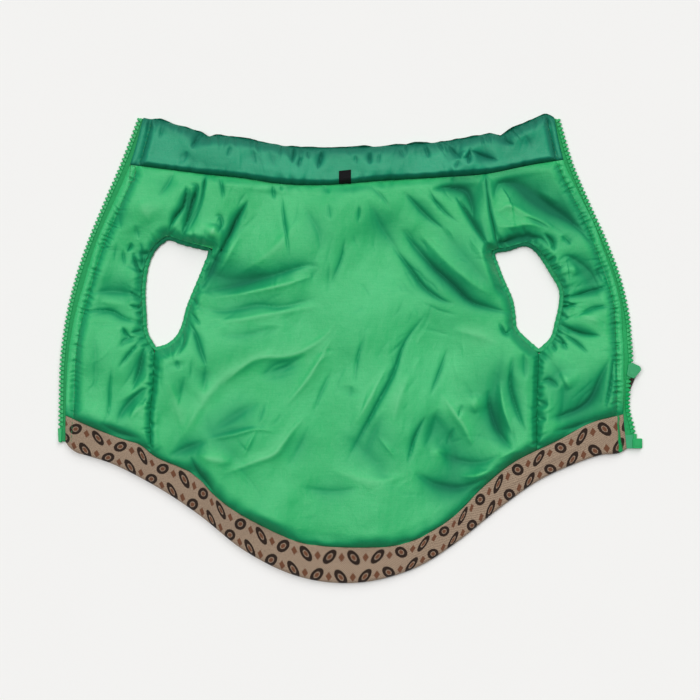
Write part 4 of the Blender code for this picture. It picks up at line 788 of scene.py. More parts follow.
def slab(name, grid, top, bottom, finish):
    """A closed piece between two heights over a grid. A height that is one number is a level face."""
    shape = grid.shape[:2]
    number = np.arange(shape[0] * shape[1]).reshape(shape)
    points, faces, edges = [], [], []
    for height, turn in ((top, 1), (bottom, -1)):
        first = sum(len(part) for part in points)
        if np.ndim(height):
            points.append(np.dstack([grid[..., :2], height]).reshape(-1, 3))
            faces += (quads(number)[:, ::turn] + first).tolist()
            edges.append(boundary(number) + first)
        else:
            edge = boundary(grid)
            points.append(np.column_stack([edge[:, :2], np.full(len(edge), height)]))
            edges.append(np.arange(len(edge)) + first)
            faces.append(edges[-1][::-turn].tolist())
    upper, lower = edges
    walls = np.stack([upper, np.roll(upper, -1), np.roll(lower, -1), lower], axis=1)
    return mesh_object(name, np.vstack(points), faces + walls.tolist(), finish)


def lay_out(piece, grid):
    """A map that follows the cloth, in metres: along the rows of its grid, and across them."""
    middle = grid[len(grid) // 2]
    along = lengths(middle)
    across = np.concatenate([[0.0], np.cumsum(np.linalg.norm(np.diff(grid, axis=0), axis=-1).mean(axis=1))])
    flat = np.stack(np.meshgrid(along, across), axis=-1).reshape(-1, 2) * MM
    table = np.zeros((len(piece.data.vertices), 2))
    count = len(flat)
    table[:count] = flat
    if len(table) >= 2 * count:
        table[count : 2 * count] = flat
    corners = np.empty(len(piece.data.loops), dtype=np.int64)
    piece.data.loops.foreach_get("vertex_index", corners)
    layer = piece.data.uv_layers.new(name="cloth")
    layer.data.foreach_set("uv", table[corners].ravel())


def note_on(piece, name, shares):
    """Notes a share at each of a piece's points, for its finish. Points past the first ones get none."""
    values = np.zeros(len(piece.data.vertices))
    values[: shares.size] = shares.ravel()
    piece.data.attributes.new(name, "FLOAT", "POINT").data.foreach_set("value", values)


def settle(piece, slot, *nodes, body=VEST):
    """Put a piece on its body and hide the solids that it stands for. The slot is not used."""
    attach(piece, body)
    if nodes:
        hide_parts(*nodes)
    return piece


def surface(piece):
    """A function that gives a piece's height at a place, both in millimetres."""
    points = [vertex.co for vertex in piece.data.vertices]
    tree = BVHTree.FromPolygons(points, [list(face.vertices) for face in piece.data.polygons])

    def height(x, y):
        hit, _, _, _ = tree.ray_cast(Vector((x * MM, y * MM, 0.1)), Vector((0, 0, -1)))
        return None if hit is None else hit.z / MM

    return height


# ---------------------------------------------------------------- finishes
class Value:
    """A number that a finish works out at each place. Sums of such numbers set up the finish's nodes."""

    def __init__(self, finish, socket):
        self.finish = finish
        self.socket = socket

    def __add__(self, other):
        return self.finish.calc("ADD", self, other)

    def __sub__(self, other):
        return self.finish.calc("SUBTRACT", self, other)

    def __rsub__(self, other):
        return self.finish.calc("SUBTRACT", other, self)

    def __mul__(self, other):
        return self.finish.calc("MULTIPLY", self, other)

    def __truediv__(self, other):
        return self.finish.calc("DIVIDE", self, other)

    def __mod__(self, other):
        return self.finish.calc("FLOORED_MODULO", self, other)

    def __floor__(self):
        return self.finish.calc("FLOOR", self)

    def __abs__(self):
        return self.finish.calc("ABSOLUTE", self)


class Finish:
    """A procedural material in the making."""

    def __init__(self, name, roughness, **sockets):
        self.material = bpy.data.materials.new(name)
        self.material.use_nodes = True
        self.tree = self.material.node_tree
        self.shader = self.tree.nodes["Principled BSDF"]
        self.shader.inputs["Roughness"].default_value = roughness
        for socket, value in sockets.items():
            self.shader.inputs[socket.replace("_", " ")].default_value = value

    def node(self, kind, inputs=(), **settings):
        made = self.tree.nodes.new(kind)
        for name, value in settings.items():
            setattr(made, name, value)
        for socket, value in dict(inputs).items():
            self.feed(made.inputs[socket], value)
        return made.outputs

    def feed(self, socket, value):
        if isinstance(value, Value):
            value = value.socket
        if isinstance(value, bpy.types.NodeSocket):
            self.tree.links.new(value, socket)
        else:
            socket.default_value = value

    def places(self, scale=(1, 1, 1), turn=0.0, mapped=False):
        """Places on the piece in metres, or on its cloth map, stretched and turned."""
        if mapped:
            source = self.node("ShaderNodeUVMap", uv_map="cloth")["UV"]
        else:
            source = self.node("ShaderNodeTexCoord")["Object"]
        inputs = {"Vector": source, "Scale": scale, "Rotation": (0.0, 0.0, turn)}
        return self.node("ShaderNodeMapping", inputs)["Vector"]

    def calc(self, operation, *values):
        made = self.node("ShaderNodeMath", dict(enumerate(values)), operation=operation)
        return Value(self, made["Value"])

    def noted(self, name):
        """The share that was noted on the piece's points."""
        return Value(self, self.node("ShaderNodeAttribute", attribute_name=name)["Fac"])

    def noise(self, where, scale, detail=3.0):
        inputs = {"Vector": where, "Scale": scale, "Detail": detail}
        return Value(self, self.node("ShaderNodeTexNoise", inputs)["Fac"])

    def threads(self, where, pitch, direction="X", waver=0.4):
        """Fine ribs with this pitch in metres."""
        inputs = {"Vector": where, "Scale": math.pi / (10 * pitch), "Distortion": waver, "Detail": 1.0}
        return Value(self, self.node("ShaderNodeTexWave", inputs, bands_direction=direction)["Fac"])

    def ramp(self, value, low, high):
        """0 where the value is at low or beyond, rising to 1 at high."""
        inputs = {"Value": value, "From Min": low, "From Max": high}
        return Value(self, self.node("ShaderNodeMapRange", inputs)["Result"])

    def blend(self, share, first, second):
        return self.node("ShaderNodeMix", {0: share, 6: first, 7: second}, data_type="RGBA")[2]

    def colour(self, value):
        self.feed(self.shader.inputs["Base Color"], value)

    def bumps(self, *rows):
        """Surface relief, coarsest first. Each row is a height and its depth in metres."""
        normal = None
        for height, depth in rows:
            inputs = {"Height": height, "Distance": depth}
            if normal is not None:
                inputs["Normal"] = normal
            normal = self.node("ShaderNodeBump", inputs)["Normal"]
        self.feed(self.shader.inputs["Normal"], normal)


def rgb(red, green, blue):
    """A colour given as it looks on a screen, 0 to 255."""
    channels = [value / 255 for value in (red, green, blue)]
    return tuple(c / 12.92 if c <= 0.04045 else ((c + 0.055) / 1.055) ** 2.4 for c in channels) + (1.0,)


def satin(name, ridge_highlight, light, dark, middle, deepest_shade, roughness):
    """Smooth satin with faint slubs and fine threads, with painted shade in its sunk folds and on its steep
    slopes and a painted highlight on its ridges.
    """
    finish = Finish(name, roughness, Specular_IOR_Level=0.34)
    # The blend of dark and light below is random tone and slubs, and its broad cloudy patches are partly
    # painted sheen.
    cloudy = finish.ramp(finish.noise(finish.places(), 22.0), 0.3, 0.7)
    slubs = finish.ramp(finish.noise(finish.places((90, 1100, 90)), 1.0, 4.0), 0.35, 0.65)
    grain = finish.ramp(finish.noise(finish.places((1.0, 1.6, 1.0)), 1400.0, 2.0), 0.3, 0.7)
    shade = cloudy * 0.55 + slubs * 0.15 + grain * 0.3
    # Painted shading noted on the piece: a painted highlight on raised folds, and a middle and then the
    # darkest painted shade in sunk folds, on steep slopes and at darkened edges.
    relief = finish.noted("hollows")
    hollows = finish.ramp(relief, 0.0, 1.0)
    level = finish.blend(finish.ramp(relief, 0.0, -1.0), finish.blend(shade, dark, light), ridge_highlight)
    painted_mid_shading = finish.blend(finish.ramp(relief, 0.0, 0.4), level, middle)
    finish.colour(finish.blend(hollows, painted_mid_shading, deepest_shade))
    finish.feed(finish.shader.inputs["Roughness"], hollows * 0.5 + roughness)
    wrinkled = finish.noise(finish.places((1, 0.6, 1), 0.5), 110.0, 4.0)
    weft = finish.threads(finish.places(), 0.00042, "Y")
    warp = finish.threads(finish.places(), 0.00034, "X")
    finish.bumps((wrinkled, 0.0011), (slubs, 0.00003), (grain, 0.00006), (weft, 0.00003), (warp, 0.00002))
    return finish.material


# The print in metres: how far apart its ovals are, and half an oval's and half a lozenge's size.
PRINT_WIDE, PRINT_HIGH = 0.0172, 0.0126
OVAL_LONG, OVAL_WIDE = 0.0077, 0.0043
LOZENGE_WIDE, LOZENGE_HIGH = 0.0026, 0.0034


def seed_print(finish, where):
    """Ovals that lean to and fro, with a lozenge between each two: the shares of dark and of brown."""
    apart = finish.node("ShaderNodeSeparateXYZ", {"Vector": where})
    y = Value(finish, apart["Y"]) / PRINT_HIGH
    row = math.floor(y)
    x = Value(finish, apart["X"]) / PRINT_WIDE + row % 2.0 * 0.5
    column = math.floor(x)
    across = (x - column - 0.5) * PRINT_WIDE
    up = (y - row - 0.5) * PRINT_HIGH
    lean = column % 2.0 * 2.0 - 1.0
    along = across + up * lean
    beyond = up - across * lean
    squares = [finish.calc("POWER", abs(far), 2.0) for far in (along / OVAL_LONG, beyond / OVAL_WIDE)]
    ragged = (finish.noise(where, 2400.0) - 0.5) * 0.3
    size = finish.calc("SQRT", squares[0] + squares[1]) + ragged
    outline = 1.0 - finish.ramp(abs(size - 0.8), 0.26, 0.33)
    lozenge = (PRINT_WIDE / 2 - abs(across)) / LOZENGE_WIDE + abs(up) / LOZENGE_HIGH
    lozenge = finish.ramp(lozenge + ragged, 1.0, 0.8)
    middle = finish.ramp(size, 0.42, 0.34)
    return outline, finish.calc("MAXIMUM", middle, lozenge)


def canvas(name, mapped):
    """Tan twill with a generic print of ovals and lozenges."""
    finish = Finish(name, 0.9, Specular_IOR_Level=0.2, Sheen_Weight=0.1, Sheen_Roughness=0.6)
    where = finish.places(mapped=mapped)
    turned = finish.places(turn=math.radians(52), mapped=mapped)
    twill = finish.threads(turned, 0.001, "X", 1.2)
    flecks = finish.ramp(finish.noise(where, 1300.0, 3.0), 0.3, 0.7)
    cloudy = finish.noise(where, 60.0)
    ground = finish.blend(twill * 0.4 + flecks * 0.6, rgb(104, 84, 68), rgb(194, 170, 146))
    ground = finish.blend(cloudy * 0.3, ground, rgb(150, 124, 102))
    outline, middle = seed_print(finish, where)
    printed = finish.blend(middle * 0.9, ground, rgb(104, 58, 34))
    printed = finish.blend(outline * 0.97, printed, rgb(30, 14, 6))
    if mapped:
        printed = finish.blend(finish.noted("slit"), printed, rgb(8, 150, 80))
    finish.colour(printed)
    finish.bumps((cloudy, 0.0006), (twill, 0.00016), (flecks, 0.00012))
    return finish.material


def tape_cloth():
    """Bright woven tape with fine ribs along it."""
    finish = Finish("tape_cloth", 0.72, Sheen_Weight=0.3, Sheen_Roughness=0.5)
    ribs = finish.threads(finish.places(mapped=True), 0.0007, "X", 0.6)
    picks = finish.threads(finish.places(mapped=True), 0.0009, "Y", 0.6)
    cloudy = finish.noise(finish.places(), 300.0)
    finish.colour(finish.blend((ribs + cloudy) * 0.5, rgb(4, 142, 76), rgb(14, 184, 102)))
    finish.bumps((ribs, 0.0002), (picks, 0.00012))
    return finish.material


def moulded(name, light, dark, roughness):
    """Moulded plastic or lacquer with faint unevenness."""
    finish = Finish(name, roughness, Coat_Weight=0.05, Coat_Roughness=0.3, Specular_IOR_Level=0.35)
    cloudy = finish.noise(finish.places(), 420.0)
    finish.colour(finish.blend(cloudy, dark, light))
    finish.bumps((finish.noise(finish.places(), 1900.0), 0.00005))
    return finish.material


def leather():
    """Dark leather with a fine grain."""
    finish = Finish("pull_leather", 0.55)
    inputs = {"Vector": finish.places(), "Scale": 1600.0}
    grain = finish.node("ShaderNodeTexVoronoi", inputs, feature="DISTANCE_TO_EDGE")["Distance"]
    cloudy = finish.noise(finish.places(), 350.0)
    finish.colour(finish.blend(cloudy, rgb(32, 20, 13), rgb(58, 38, 25)))
    finish.bumps((finish.ramp(grain, 0.0, 0.25), 0.00012))
    return finish.material


def ribbon():
    """Black ribbon with ribs that run up it."""
    finish = Finish("black_ribbon", 0.85, Specular_IOR_Level=0.2)
    picks = finish.threads(finish.places(), 0.0005, "Y")
    finish.colour(finish.blend(picks, rgb(8, 8, 9), rgb(30, 30, 32)))
    finish.bumps((picks, 0.0001))
    return finish.material


def thread_cloth(name, dark, light):
    """Twisted sewing thread."""
    finish = Finish(name, 0.6, Sheen_Weight=0.3)
    plies = finish.threads(finish.places(turn=0.7), 0.0004, "X")
    finish.colour(finish.blend(plies, dark, light))
    finish.bumps((plies, 0.0001))
    return finish.material


# ---------------------------------------------------------------- the pieces of cloth
def make_padded(row, seed, finish):
    """Satin over wadding, from its row of sizes, edges and folds."""
    grid, lines = fine_grid(row.node, row.edges, row.step)
    if row.scallop:
        rng = np.random.default_rng(seed + SCALLOP_SEED)
        near_top = np.exp(-beside(grid[..., :2], lines[0])[0] / SCALLOP_FADE)
        scallops = SCALLOP_LEAST + ripples(grid[..., :2] * (1.0, 0.0), rng, SCALLOP_WAVES)
        grid[..., 1] += row.scallop * scallops * near_top
    height, hollows = padded_height(grid, row.edges, lines, row.full, row.folds, row.headings, seed)
    floor = grid[..., 2]
    bottom = float(floor.mean()) if np.ptp(floor) < LEVEL else floor
    piece = slab(row.node + "_satin", grid, floor + height, bottom, finish)
    # The painted shade and highlight for the satin's colour.
    note_on(piece, "hollows", hollows)
    settle(piece, row.slot, row.node)
    return piece


def make_facing(finish):
    """The canvas turned up over the hem: its outer edge rolls down round the shell's."""
    grid, lines = fine_grid("hem_facing", FACING_EDGES, FACING_STEP)
    places = grid[..., :2]
    distances = [beside(places, line)[0] for line in lines]
    rng = np.random.default_rng(FACING_SEED)
    height = puffed(FACING_FULL, FACING_EDGES, distances)
    height += ripples(places, rng, FACING_WAVES) * smooth_step(np.min(distances, axis=0) / FACING_FADE)
    height += fold_relief(places, FACING_FOLDS)
    far, _, share = beside(places, np.array(SLIT))
    slit = 1 - smooth_step((far - SLIT_HALF - SLIT_WIDENS * share**3) / SLIT_SOFT)
    from_hem = distances[2]
    height -= SLIT_DEEP * slit * smooth_step(from_hem / 2.0)
    floor = grid[..., 2]
    bottom = np.where(from_hem < HEM_TURN, HEM_TURN_LOW, floor)
    piece = slab("hem_facing_canvas", grid, floor + height, bottom, finish)
    lay_out(piece, grid)
    note_on(piece, "slit", slit)
    settle(piece, "canvas", "hem_facing")
    return piece, lines


# The outer cloth's pieces: the corners of their grids clockwise from the top left, and their cut in metres.
Shell = namedtuple("Shell", "node corners flat area")
SHELLS = (
    Shell(
        "shell_back", ((-102.5, 124.6), (96.6, 124.9), (133.5, -95.0), (-142.1, -96.0)),
        (0.276, 0.292), 0.0625,
    ),
    Shell(
        "shell_front_left", ((-157.4, 131.8), (-102.5, 124.6), (-142.1, -96.0), (-203.5, -66.4)),
        (0.1, 0.228), 0.0122,
    ),
    Shell(
        "shell_front_right", ((96.6, 124.9), (152.8, 135.2), (197.8, -71.4), (133.5, -95.0)),
        (0.1, 0.23), 0.0122,
    ),
    Shell(
        "collar_shell", ((-147.7, 164.9), (145.7, 165.3), (152.8, 135.2), (-157.4, 131.8)),
        (0.312, 0.05), 0.0092,
    ),
)


def make_shells(finish):
    """The outer cloth, face down, with shallow dents in its underside."""
    for seed, shell in enumerate(SHELLS):
        grid, _ = fine_grid(shell.node, plain_edges(shell.corners), SHELL_STEP, grow=0.0)
        floor = grid[..., 2]
        rng = np.random.default_rng(SHELL_SEED + seed)
        dents = SHELL_DENT * np.clip(0.4 + 0.6 * ripples(grid[..., :2], rng, DENT_WAVES), 0, 1)
        box_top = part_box(shell.node)[1].z / MM
        top = box_top if np.ptp(floor) < LEVEL else CANVAS_THICK + 0.92 * floor
        piece = slab(shell.node + "_canvas", grid, top, floor + dents, finish)
        settle(piece, "canvas", shell.node)


# Across the elastic edge, from the opening (0) to the panel (1), and the height there.
ARMHOLE_PROFILE = (
    (0.12, 0.35), (-0.02, 0.9), (-0.04, 1.4), (0.05, 2.0), (0.24, 2.6), (0.5, 3.05), (0.78, 3.3),
    (1.0, 3.4), (1.2, 3.05), (1.5, 2.3), (1.5, 0.5), (0.9, 0.15), (0.4, 0.12),
)


def make_armhole_edges(finish):
    """The narrow elastic edge round each armhole, gathered into small folds."""
    profile = np.array(ARMHOLE_PROFILE)
    for seed, side in enumerate(("left", "right")):
        node = "armhole_edge_" + side
        outer, inner = (np.vstack([loop, loop[:1]])[:, :2] for loop in rims(node)[:2])
        inner = rounded(inner, step_counts((inner,), ARMHOLE_STEP))[:-1]
        share = beside(inner, outer)[2]
        along = lengths(outer) / lengths(outer)[-1]
        outer = np.stack([np.interp(share, along, outer[:, k]) for k in range(2)], axis=1)
        rng = np.random.default_rng(ARMHOLE_SEED + seed)
        round_it = np.arange(len(inner)) * 2 * np.pi / len(inner)
        ruffle = sum(
            rng.uniform(0.5, 1.0) * np.sin(turns * round_it + rng.uniform(0, 2 * np.pi))
            for turns in rng.integers(*RUFFLE_TURNS)
        ) / RUFFLE_FULL
        swollen = 1 + RUFFLE_DEEP * ruffle[:, None]
        across = 0.5 + (profile[:, 0] - 0.5) * np.where(profile[:, 0] < 0.5, swollen, 1.0)
        flat = inner[:, None] + across[..., None] * (outer - inner)[:, None]
        high = profile[:, 1] * np.where(profile[:, 1] > 1.0, swollen, 1.0)
        sections = np.concatenate([flat, high[..., None]], axis=-1)
        number = np.arange(high.size).reshape(high.shape)
        ahead = np.roll(number, -1, axis=0)
        corners = (number, np.roll(number, -1, 1), np.roll(ahead, -1, 1), ahead)
        faces = np.stack(corners, axis=-1).reshape(-1, 4)
        piece = mesh_object(node + "_satin", sections.reshape(-1, 3), faces.tolist(), finish, 80)
        point_outwards(piece)
        # Painted shade on the elastic edge, darker above STRAP_LOW where it lies under the straps.
        shaded = smooth_step((sections[..., 1] - STRAP_LOW) / STRAP_FADE)
        note_on(piece, "hollows", RING_PAINTED_SHADE + (STRAP_PAINTED_SHADE - RING_PAINTED_SHADE) * shaded)
        settle(piece, "lining_satin", node)
        long = lengths(np.vstack([outer, outer[:1]]))[-1] * MM
        flat = (0.01, round(long * 1.15, 3))
        0.51 * flat[0] * flat[1]


def point_outwards(piece):
    shape = bmesh.new()
    shape.from_mesh(piece.data)
    bmesh.ops.recalc_face_normals(shape, faces=shape.faces)
    shape.to_mesh(piece.data)
    shape.free()


TAPE_CORNERS = {
    "left": ((-149.5, 164.9), (-147.9, 164.9), (-203.8, -66.8), (-206.1, -66.8)),
    "right": ((145.9, 164.0), (147.9, 164.0), (202.0, -71.0), (198.1, -71.0)),
}


def make_tapes(finish):
    """The woven tapes, with a cord along the edge that carries the teeth. Gives both of those edges."""
    toothed_edges = {}
    for side, corners in TAPE_CORNERS.items():
        node = "zip_tape_" + side
        grid, _ = fine_grid(node, plain_edges(corners), TAPE_STEP, grow=0.0)
        across = np.linspace(0, 1, grid.shape[1])
        under = TAPE_UNDER_TEETH
        toothed = grid[:, 0].copy()
        if side == "right":
            across = np.linspace(1, 0, grid.shape[1])
            under = -TAPE_UNDER_TEETH
            toothed = grid[:, -1].copy()
        toothed_edges[side] = toothed
        wider = offset(toothed, under) - toothed
        grid = grid + wider[:, None] * (1 - across)[None, :, None]
        far = beside(grid[..., :2], toothed)[0]
        cord = CORD_HIGH * np.sqrt(np.clip(1 - ((far - CORD_IN) / CORD_HALF) ** 2, 0, 1))
        floor = grid[..., 2]
        piece = slab(node + "_cloth", grid, floor + TAPE_THICK + cord, floor, finish)
        lay_out(piece, grid)
        settle(piece, "zip_tape", node)
        flat_long = lengths(toothed)[-1] * MM
        flat_wide = float(np.linalg.norm(grid[:, 0] - grid[:, -1], axis=1).mean()) * MM
    return toothed_edges


# ---------------------------------------------------------------- hard pieces
def mirrored(half):
    """A closed outline, anticlockwise, from its right half going up."""
    half = np.asarray(half, float)
    return np.vstack([half, half[::-1] * (-1, 1)])


def eased(corners, radius, steps=3):
    """A closed outline with rounded corners."""
    corners = np.asarray(corners, float)
    share = np.linspace(0, 1, steps + 1)[:, None]
    points = []
    for before, here, after in zip(np.roll(corners, 1, axis=0), corners, np.roll(corners, -1, axis=0)):
        ends = []
        for other in (before, after):
            gap = np.linalg.norm(other - here)
            ends.append(here + (other - here) * min(radius, 0.45 * gap) / gap)
        points.append((1 - share) ** 2 * ends[0] + 2 * share * (1 - share) * here + share**2 * ends[1])
    return np.vstack(points)


def add_prism(shape, outline, low, high, bevel, place=Matrix()):
    """A solid with this anticlockwise outline between two heights, with bevelled rims."""
    closed = np.vstack([outline[-1:], outline, outline[:1]])
    inner = offset(closed, -bevel)[1:-1]
    rings = []
    for ring, height in ((inner, low), (outline, low + bevel), (outline, high - bevel), (inner, high)):
        rings.append([shape.verts.new(place @ Vector((x * MM, y * MM, height * MM))) for x, y in ring])
    shape.faces.new(rings[0][::-1])
    shape.faces.new(rings[-1])
    for lower, upper in zip(rings, rings[1:]):
        for i in range(len(lower)):
            after = (i + 1) % len(lower)
            shape.faces.new((lower[i], lower[after], upper[after], upper[i]))


def hard_piece(name, shape, finish, slot, *nodes, body=VEST):
    return settle(finished(name, mesh_of(name, shape), finish, 35), slot, *nodes, body=body)


def turned_place(x, y, z=0.0):
    return Matrix.Translation((x * MM, y * MM, z * MM)) @ Matrix.Rotation(SLIDER_TURN, 4, "Z")


def circle(radius, count=12):
    turn = np.arange(count) * 2 * np.pi / count
    return radius * np.stack([np.cos(turn), np.sin(turn)], axis=1)


def make_slider(finish):
    """Two lacquered plates with side flanges on a post, and the bail below that holds the pull tab."""
    place = turned_place(*SLIDER_MIDDLE)
    shape = bmesh.new()
    end = SLIDER_LONG / 2
    tail, shoulder, nose = (wide / 2 for wide in (SLIDER_TAIL, SLIDER_SHOULDER, SLIDER_NOSE))
    top = PLATE_HIGH + PLATE_THICK
    outline = eased(mirrored(((tail, -end), (shoulder, end - 2.0), (nose, end))), 1.0)
    for low in (PLATE_LOW, PLATE_HIGH):
        add_prism(shape, outline, low, low + PLATE_THICK, 0.25, place)
    add_prism(shape, outline * (0.66, 0.72), top - 0.2, top + 0.18, 0.16, place)
    flange = [(tail - 0.12, 0.5 - end), (shoulder - 0.12, end - 2.5)]
    flange = np.array(flange + [(shoulder - 0.85, end - 2.5), (tail - 0.85, 0.5 - end)])
    for outer in (flange, flange[::-1] * (-1, 1)):
        add_prism(shape, outer, PLATE_LOW + PLATE_THICK - 0.2, PLATE_LOW + PLATE_THICK + 0.7, 0.1, place)
        add_prism(shape, outer, PLATE_HIGH - 0.7, PLATE_HIGH + 0.2, 0.1, place)
    post = eased(mirrored(((0.8, end - 2.5), (0.8, end - 0.3))) + (0.1, 0.0), 0.5)
    add_prism(shape, post, PLATE_LOW + 0.3, PLATE_HIGH + 0.5, 0.1, place)
    turn = np.linspace(0, np.pi, 12)
    arc = np.stack([np.cos(turn), -np.sin(turn)], axis=1)
    outer, inner = (np.array(BAIL_MIDDLE) + arc * size for size in (BAIL_OUTER, BAIL_INNER))
    add_prism(shape, np.vstack([outer[::-1], inner]), -BAIL_WIDE / 2, BAIL_WIDE / 2, 0.12, place @ SIDEWAYS)
    hard_piece("slider", shape, finish, "slider_paint", "zip_slider")


def make_pull(finish):
    """The leather pull tab and the bar that it hangs from. Gives the place of its outline."""
    place = turned_place(*HINGE)
    shape = bmesh.new()
    outline = eased(PULL_OUTLINE, 0.9)
    add_prism(shape, outline, -PULL_THICK / 2, PULL_THICK / 2, 0.3, place)
    add_prism(shape, circle(PULL_BAR), -3.2, 3.2, 0.06, place @ SIDEWAYS)
    hard_piece("pull", shape, finish, "pull_leather", "zip_pull", body=PULL_TAB)
    return place


def make_box_and_pin(finish, film):
    """The retaining box at the foot of the right teeth and the insertion pin at the foot of the left ones."""
    low, high = (np.array(corner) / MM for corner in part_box("zip_box"))
    shape = bmesh.new()
    wide = BOX_WIDE / 2
    middle = Matrix.Translation(((high[0] - wide) * MM, (low[1] + BOX_LONG / 2) * MM, 0.0))
    block = eased(mirrored(((wide, -BOX_LONG / 2), (wide, BOX_LONG / 2))), 0.9)
    add_prism(shape, block, low[2], high[2], 0.4, middle)
    add_prism(shape, block * (0.62, 0.6), high[2] - 0.2, high[2] + 0.2, 0.18, middle)
    for side in (-1, 1):
        groove = eased(mirrored(((0.35, -2.6), (0.35, 2.6))) + (side * 2.9, 0.0), 0.2)
        add_prism(shape, groove, high[2] - 0.2, high[2] + 0.15, 0.12, middle)
    neck = eased(mirrored(((1.35, 3.0), (1.35, 6.9))) + (0.4 - wide + 1.35, 0.0), 0.5)
    add_prism(shape, neck, TOOTH_MIDDLE - TOOTH_THICK / 2, TOOTH_MIDDLE + TOOTH_THICK / 2, 0.3, middle)
    hard_piece("retaining_box", shape, finish, "zip_plastic", "zip_box")

    shape = bmesh.new()
    add_prism(shape, eased(TAPE_END, 0.6), TOOTH_MIDDLE - 0.75, TOOTH_MIDDLE + 0.75, 0.15)
    hard_piece("tape_end", shape, film, "zip_plastic")

    low, high = (np.array(corner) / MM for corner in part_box("zip_pin"))
    shape = bmesh.new()
    middle = Matrix.Translation(((low[0] + high[0]) / 2 * MM, low[1] * MM, 0.0))
    long = high[1] - low[1]
    outline = eased(mirrored(((0.7, 0.0), (1.2, 0.8), (1.45, 0.6 * long), (1.6, long))), 0.5)
    add_prism(shape, outline, low[2], high[2], 0.45, middle)
    hard_piece("insertion_pin", shape, finish, "zip_plastic", "zip_pin")


# ---------------------------------------------------------------- rows of teeth and stitches
ROW_INPUTS = (
    ("Line", "Geometry"),
    ("Pitch", "Float"),
    ("Shape", "Object"),
    ("Finish", "Material"),
    ("Seed", "Int"),
    ("Turn", "Float"),
    ("Smallest", "Float"),
)


def row_tree():
    """Sets a shape at even steps along each line, every one turned and sized a little differently."""
    tree = bpy.data.node_groups.new("row_of_shapes", "GeometryNodeTree")
    tree.interface.new_socket("Row", in_out="OUTPUT", socket_type="NodeSocketGeometry")
    for name, kind in ROW_INPUTS:
        tree.interface.new_socket(name, in_out="INPUT", socket_type="NodeSocket" + kind)
    given = tree.nodes.new("NodeGroupInput").outputs

    def add(kind, inputs, **settings):
        node = tree.nodes.new(kind)
        for name, value in settings.items():
            setattr(node, name, value)
        for socket, value in inputs.items():
            if isinstance(value, bpy.types.NodeSocket):
                tree.links.new(value, node.inputs[socket])
            else:
                node.inputs[socket].default_value = value
        return node.outputs

    line = add("GeometryNodeMeshToCurve", {"Mesh": given["Line"]})["Curve"]
    line = add("GeometryNodeResampleCurve", {"Curve": line, "Length": given["Pitch"]}, mode="LENGTH")["Curve"]
    points = add("GeometryNodeCurveToPoints", {"Curve": line}, mode="EVALUATED")
    ahead = add("FunctionNodeAlignRotationToVector", {"Vector": points["Tangent"]}, axis="X")["Rotation"]
    limits = {0: (-1.0, -1.0, -1.0), 1: (1.0, 1.0, 1.0), "Seed": given["Seed"]}
    stray = add("FunctionNodeRandomValue", limits, data_type="FLOAT_VECTOR")[0]
    stray = add("ShaderNodeVectorMath", {0: stray, "Scale": given["Turn"]}, operation="SCALE")["Vector"]
    stray = add("FunctionNodeEulerToRotation", {"Euler": stray})["Rotation"]
    turn = {"Rotation": ahead, "Rotate By": stray}
    turn = add("FunctionNodeRotateRotation", turn, rotation_space="LOCAL")["Rotation"]
    limits = {2: given["Smallest"], 3: 1.0, "Seed": given["Seed"]}
    size = add("FunctionNodeRandomValue", limits, data_type="FLOAT")[1]
    shape = add("GeometryNodeObjectInfo", {"Object": given["Shape"]})["Geometry"]
    places = {"Points": points["Points"], "Instance": shape, "Rotation": turn, "Scale": size}
    row = add("GeometryNodeInstanceOnPoints", places)["Instances"]
    row = add("GeometryNodeRealizeInstances", {"Geometry": row})["Geometry"]
    row = add("GeometryNodeSetMaterial", {"Geometry": row, "Material": given["Finish"]})["Geometry"]
    tree.links.new(row, tree.nodes.new("NodeGroupOutput").inputs["Row"])
    return tree


def row_of(name, tree, lines, shape, **given):
    """One mesh of the shapes along these lines."""
    points, edges = [], []
    for line in lines:
        edges += [(len(points) + i, len(points) + i + 1) for i in range(len(line) - 1)]
        points += (line * MM).tolist()
    host_mesh = bpy.data.meshes.new(name + "_lines")
    host_mesh.from_pydata(points, edges, [])
    host = placed(name + "_lines", host_mesh)
    row = host.modifiers.new("row", "NODES")
    row.node_group = tree
    given["Shape"] = shape
    for socket in tree.interface.items_tree:
        if socket.in_out == "INPUT" and socket.name in given:
            row[socket.identifier] = given[socket.name]
    graph = bpy.context.evaluated_depsgraph_get()
    mesh = bpy.data.meshes.new_from_object(host.evaluated_get(graph), depsgraph=graph)
    mesh.name = name
    bpy.data.objects.remove(host)
    return placed(name, mesh)


def tooth(finish):
    """One moulded tooth: it clasps the tape's cord, narrows to a neck and ends in a rounded head."""
    shape = bmesh.new()
    add_prism(shape, mirrored(TOOTH_HALF), -TOOTH_THICK / 2, TOOTH_THICK / 2, 0.32)
    return finished("tooth", mesh_of("tooth", shape), finish, 40)


def stitch(finish):
    """One stitch, with both ends dipping into the cloth."""
    around = circle(1.0, 6)
    rings = []
    for x, thick, z in STITCH_SECTIONS:
        ring = np.column_stack([np.zeros(6), thick * around * STITCH_THICK / 2])
        rings.append(ring + (x * STITCH_LONG / 2, 0.0, z * STITCH_THICK / 2))
    number = np.arange(6 * len(rings)).reshape(-1, 6)
    ahead = np.roll(number, -1, axis=1)
    walls = np.stack([number[:-1], ahead[:-1], ahead[1:], number[1:]], axis=-1).reshape(-1, 4)
    ends = [number[0].tolist(), number[-1, ::-1].tolist()]
    made = mesh_object("stitch", np.vstack(rings), walls.tolist() + ends, finish, 80)
    point_outwards(made)
    return made


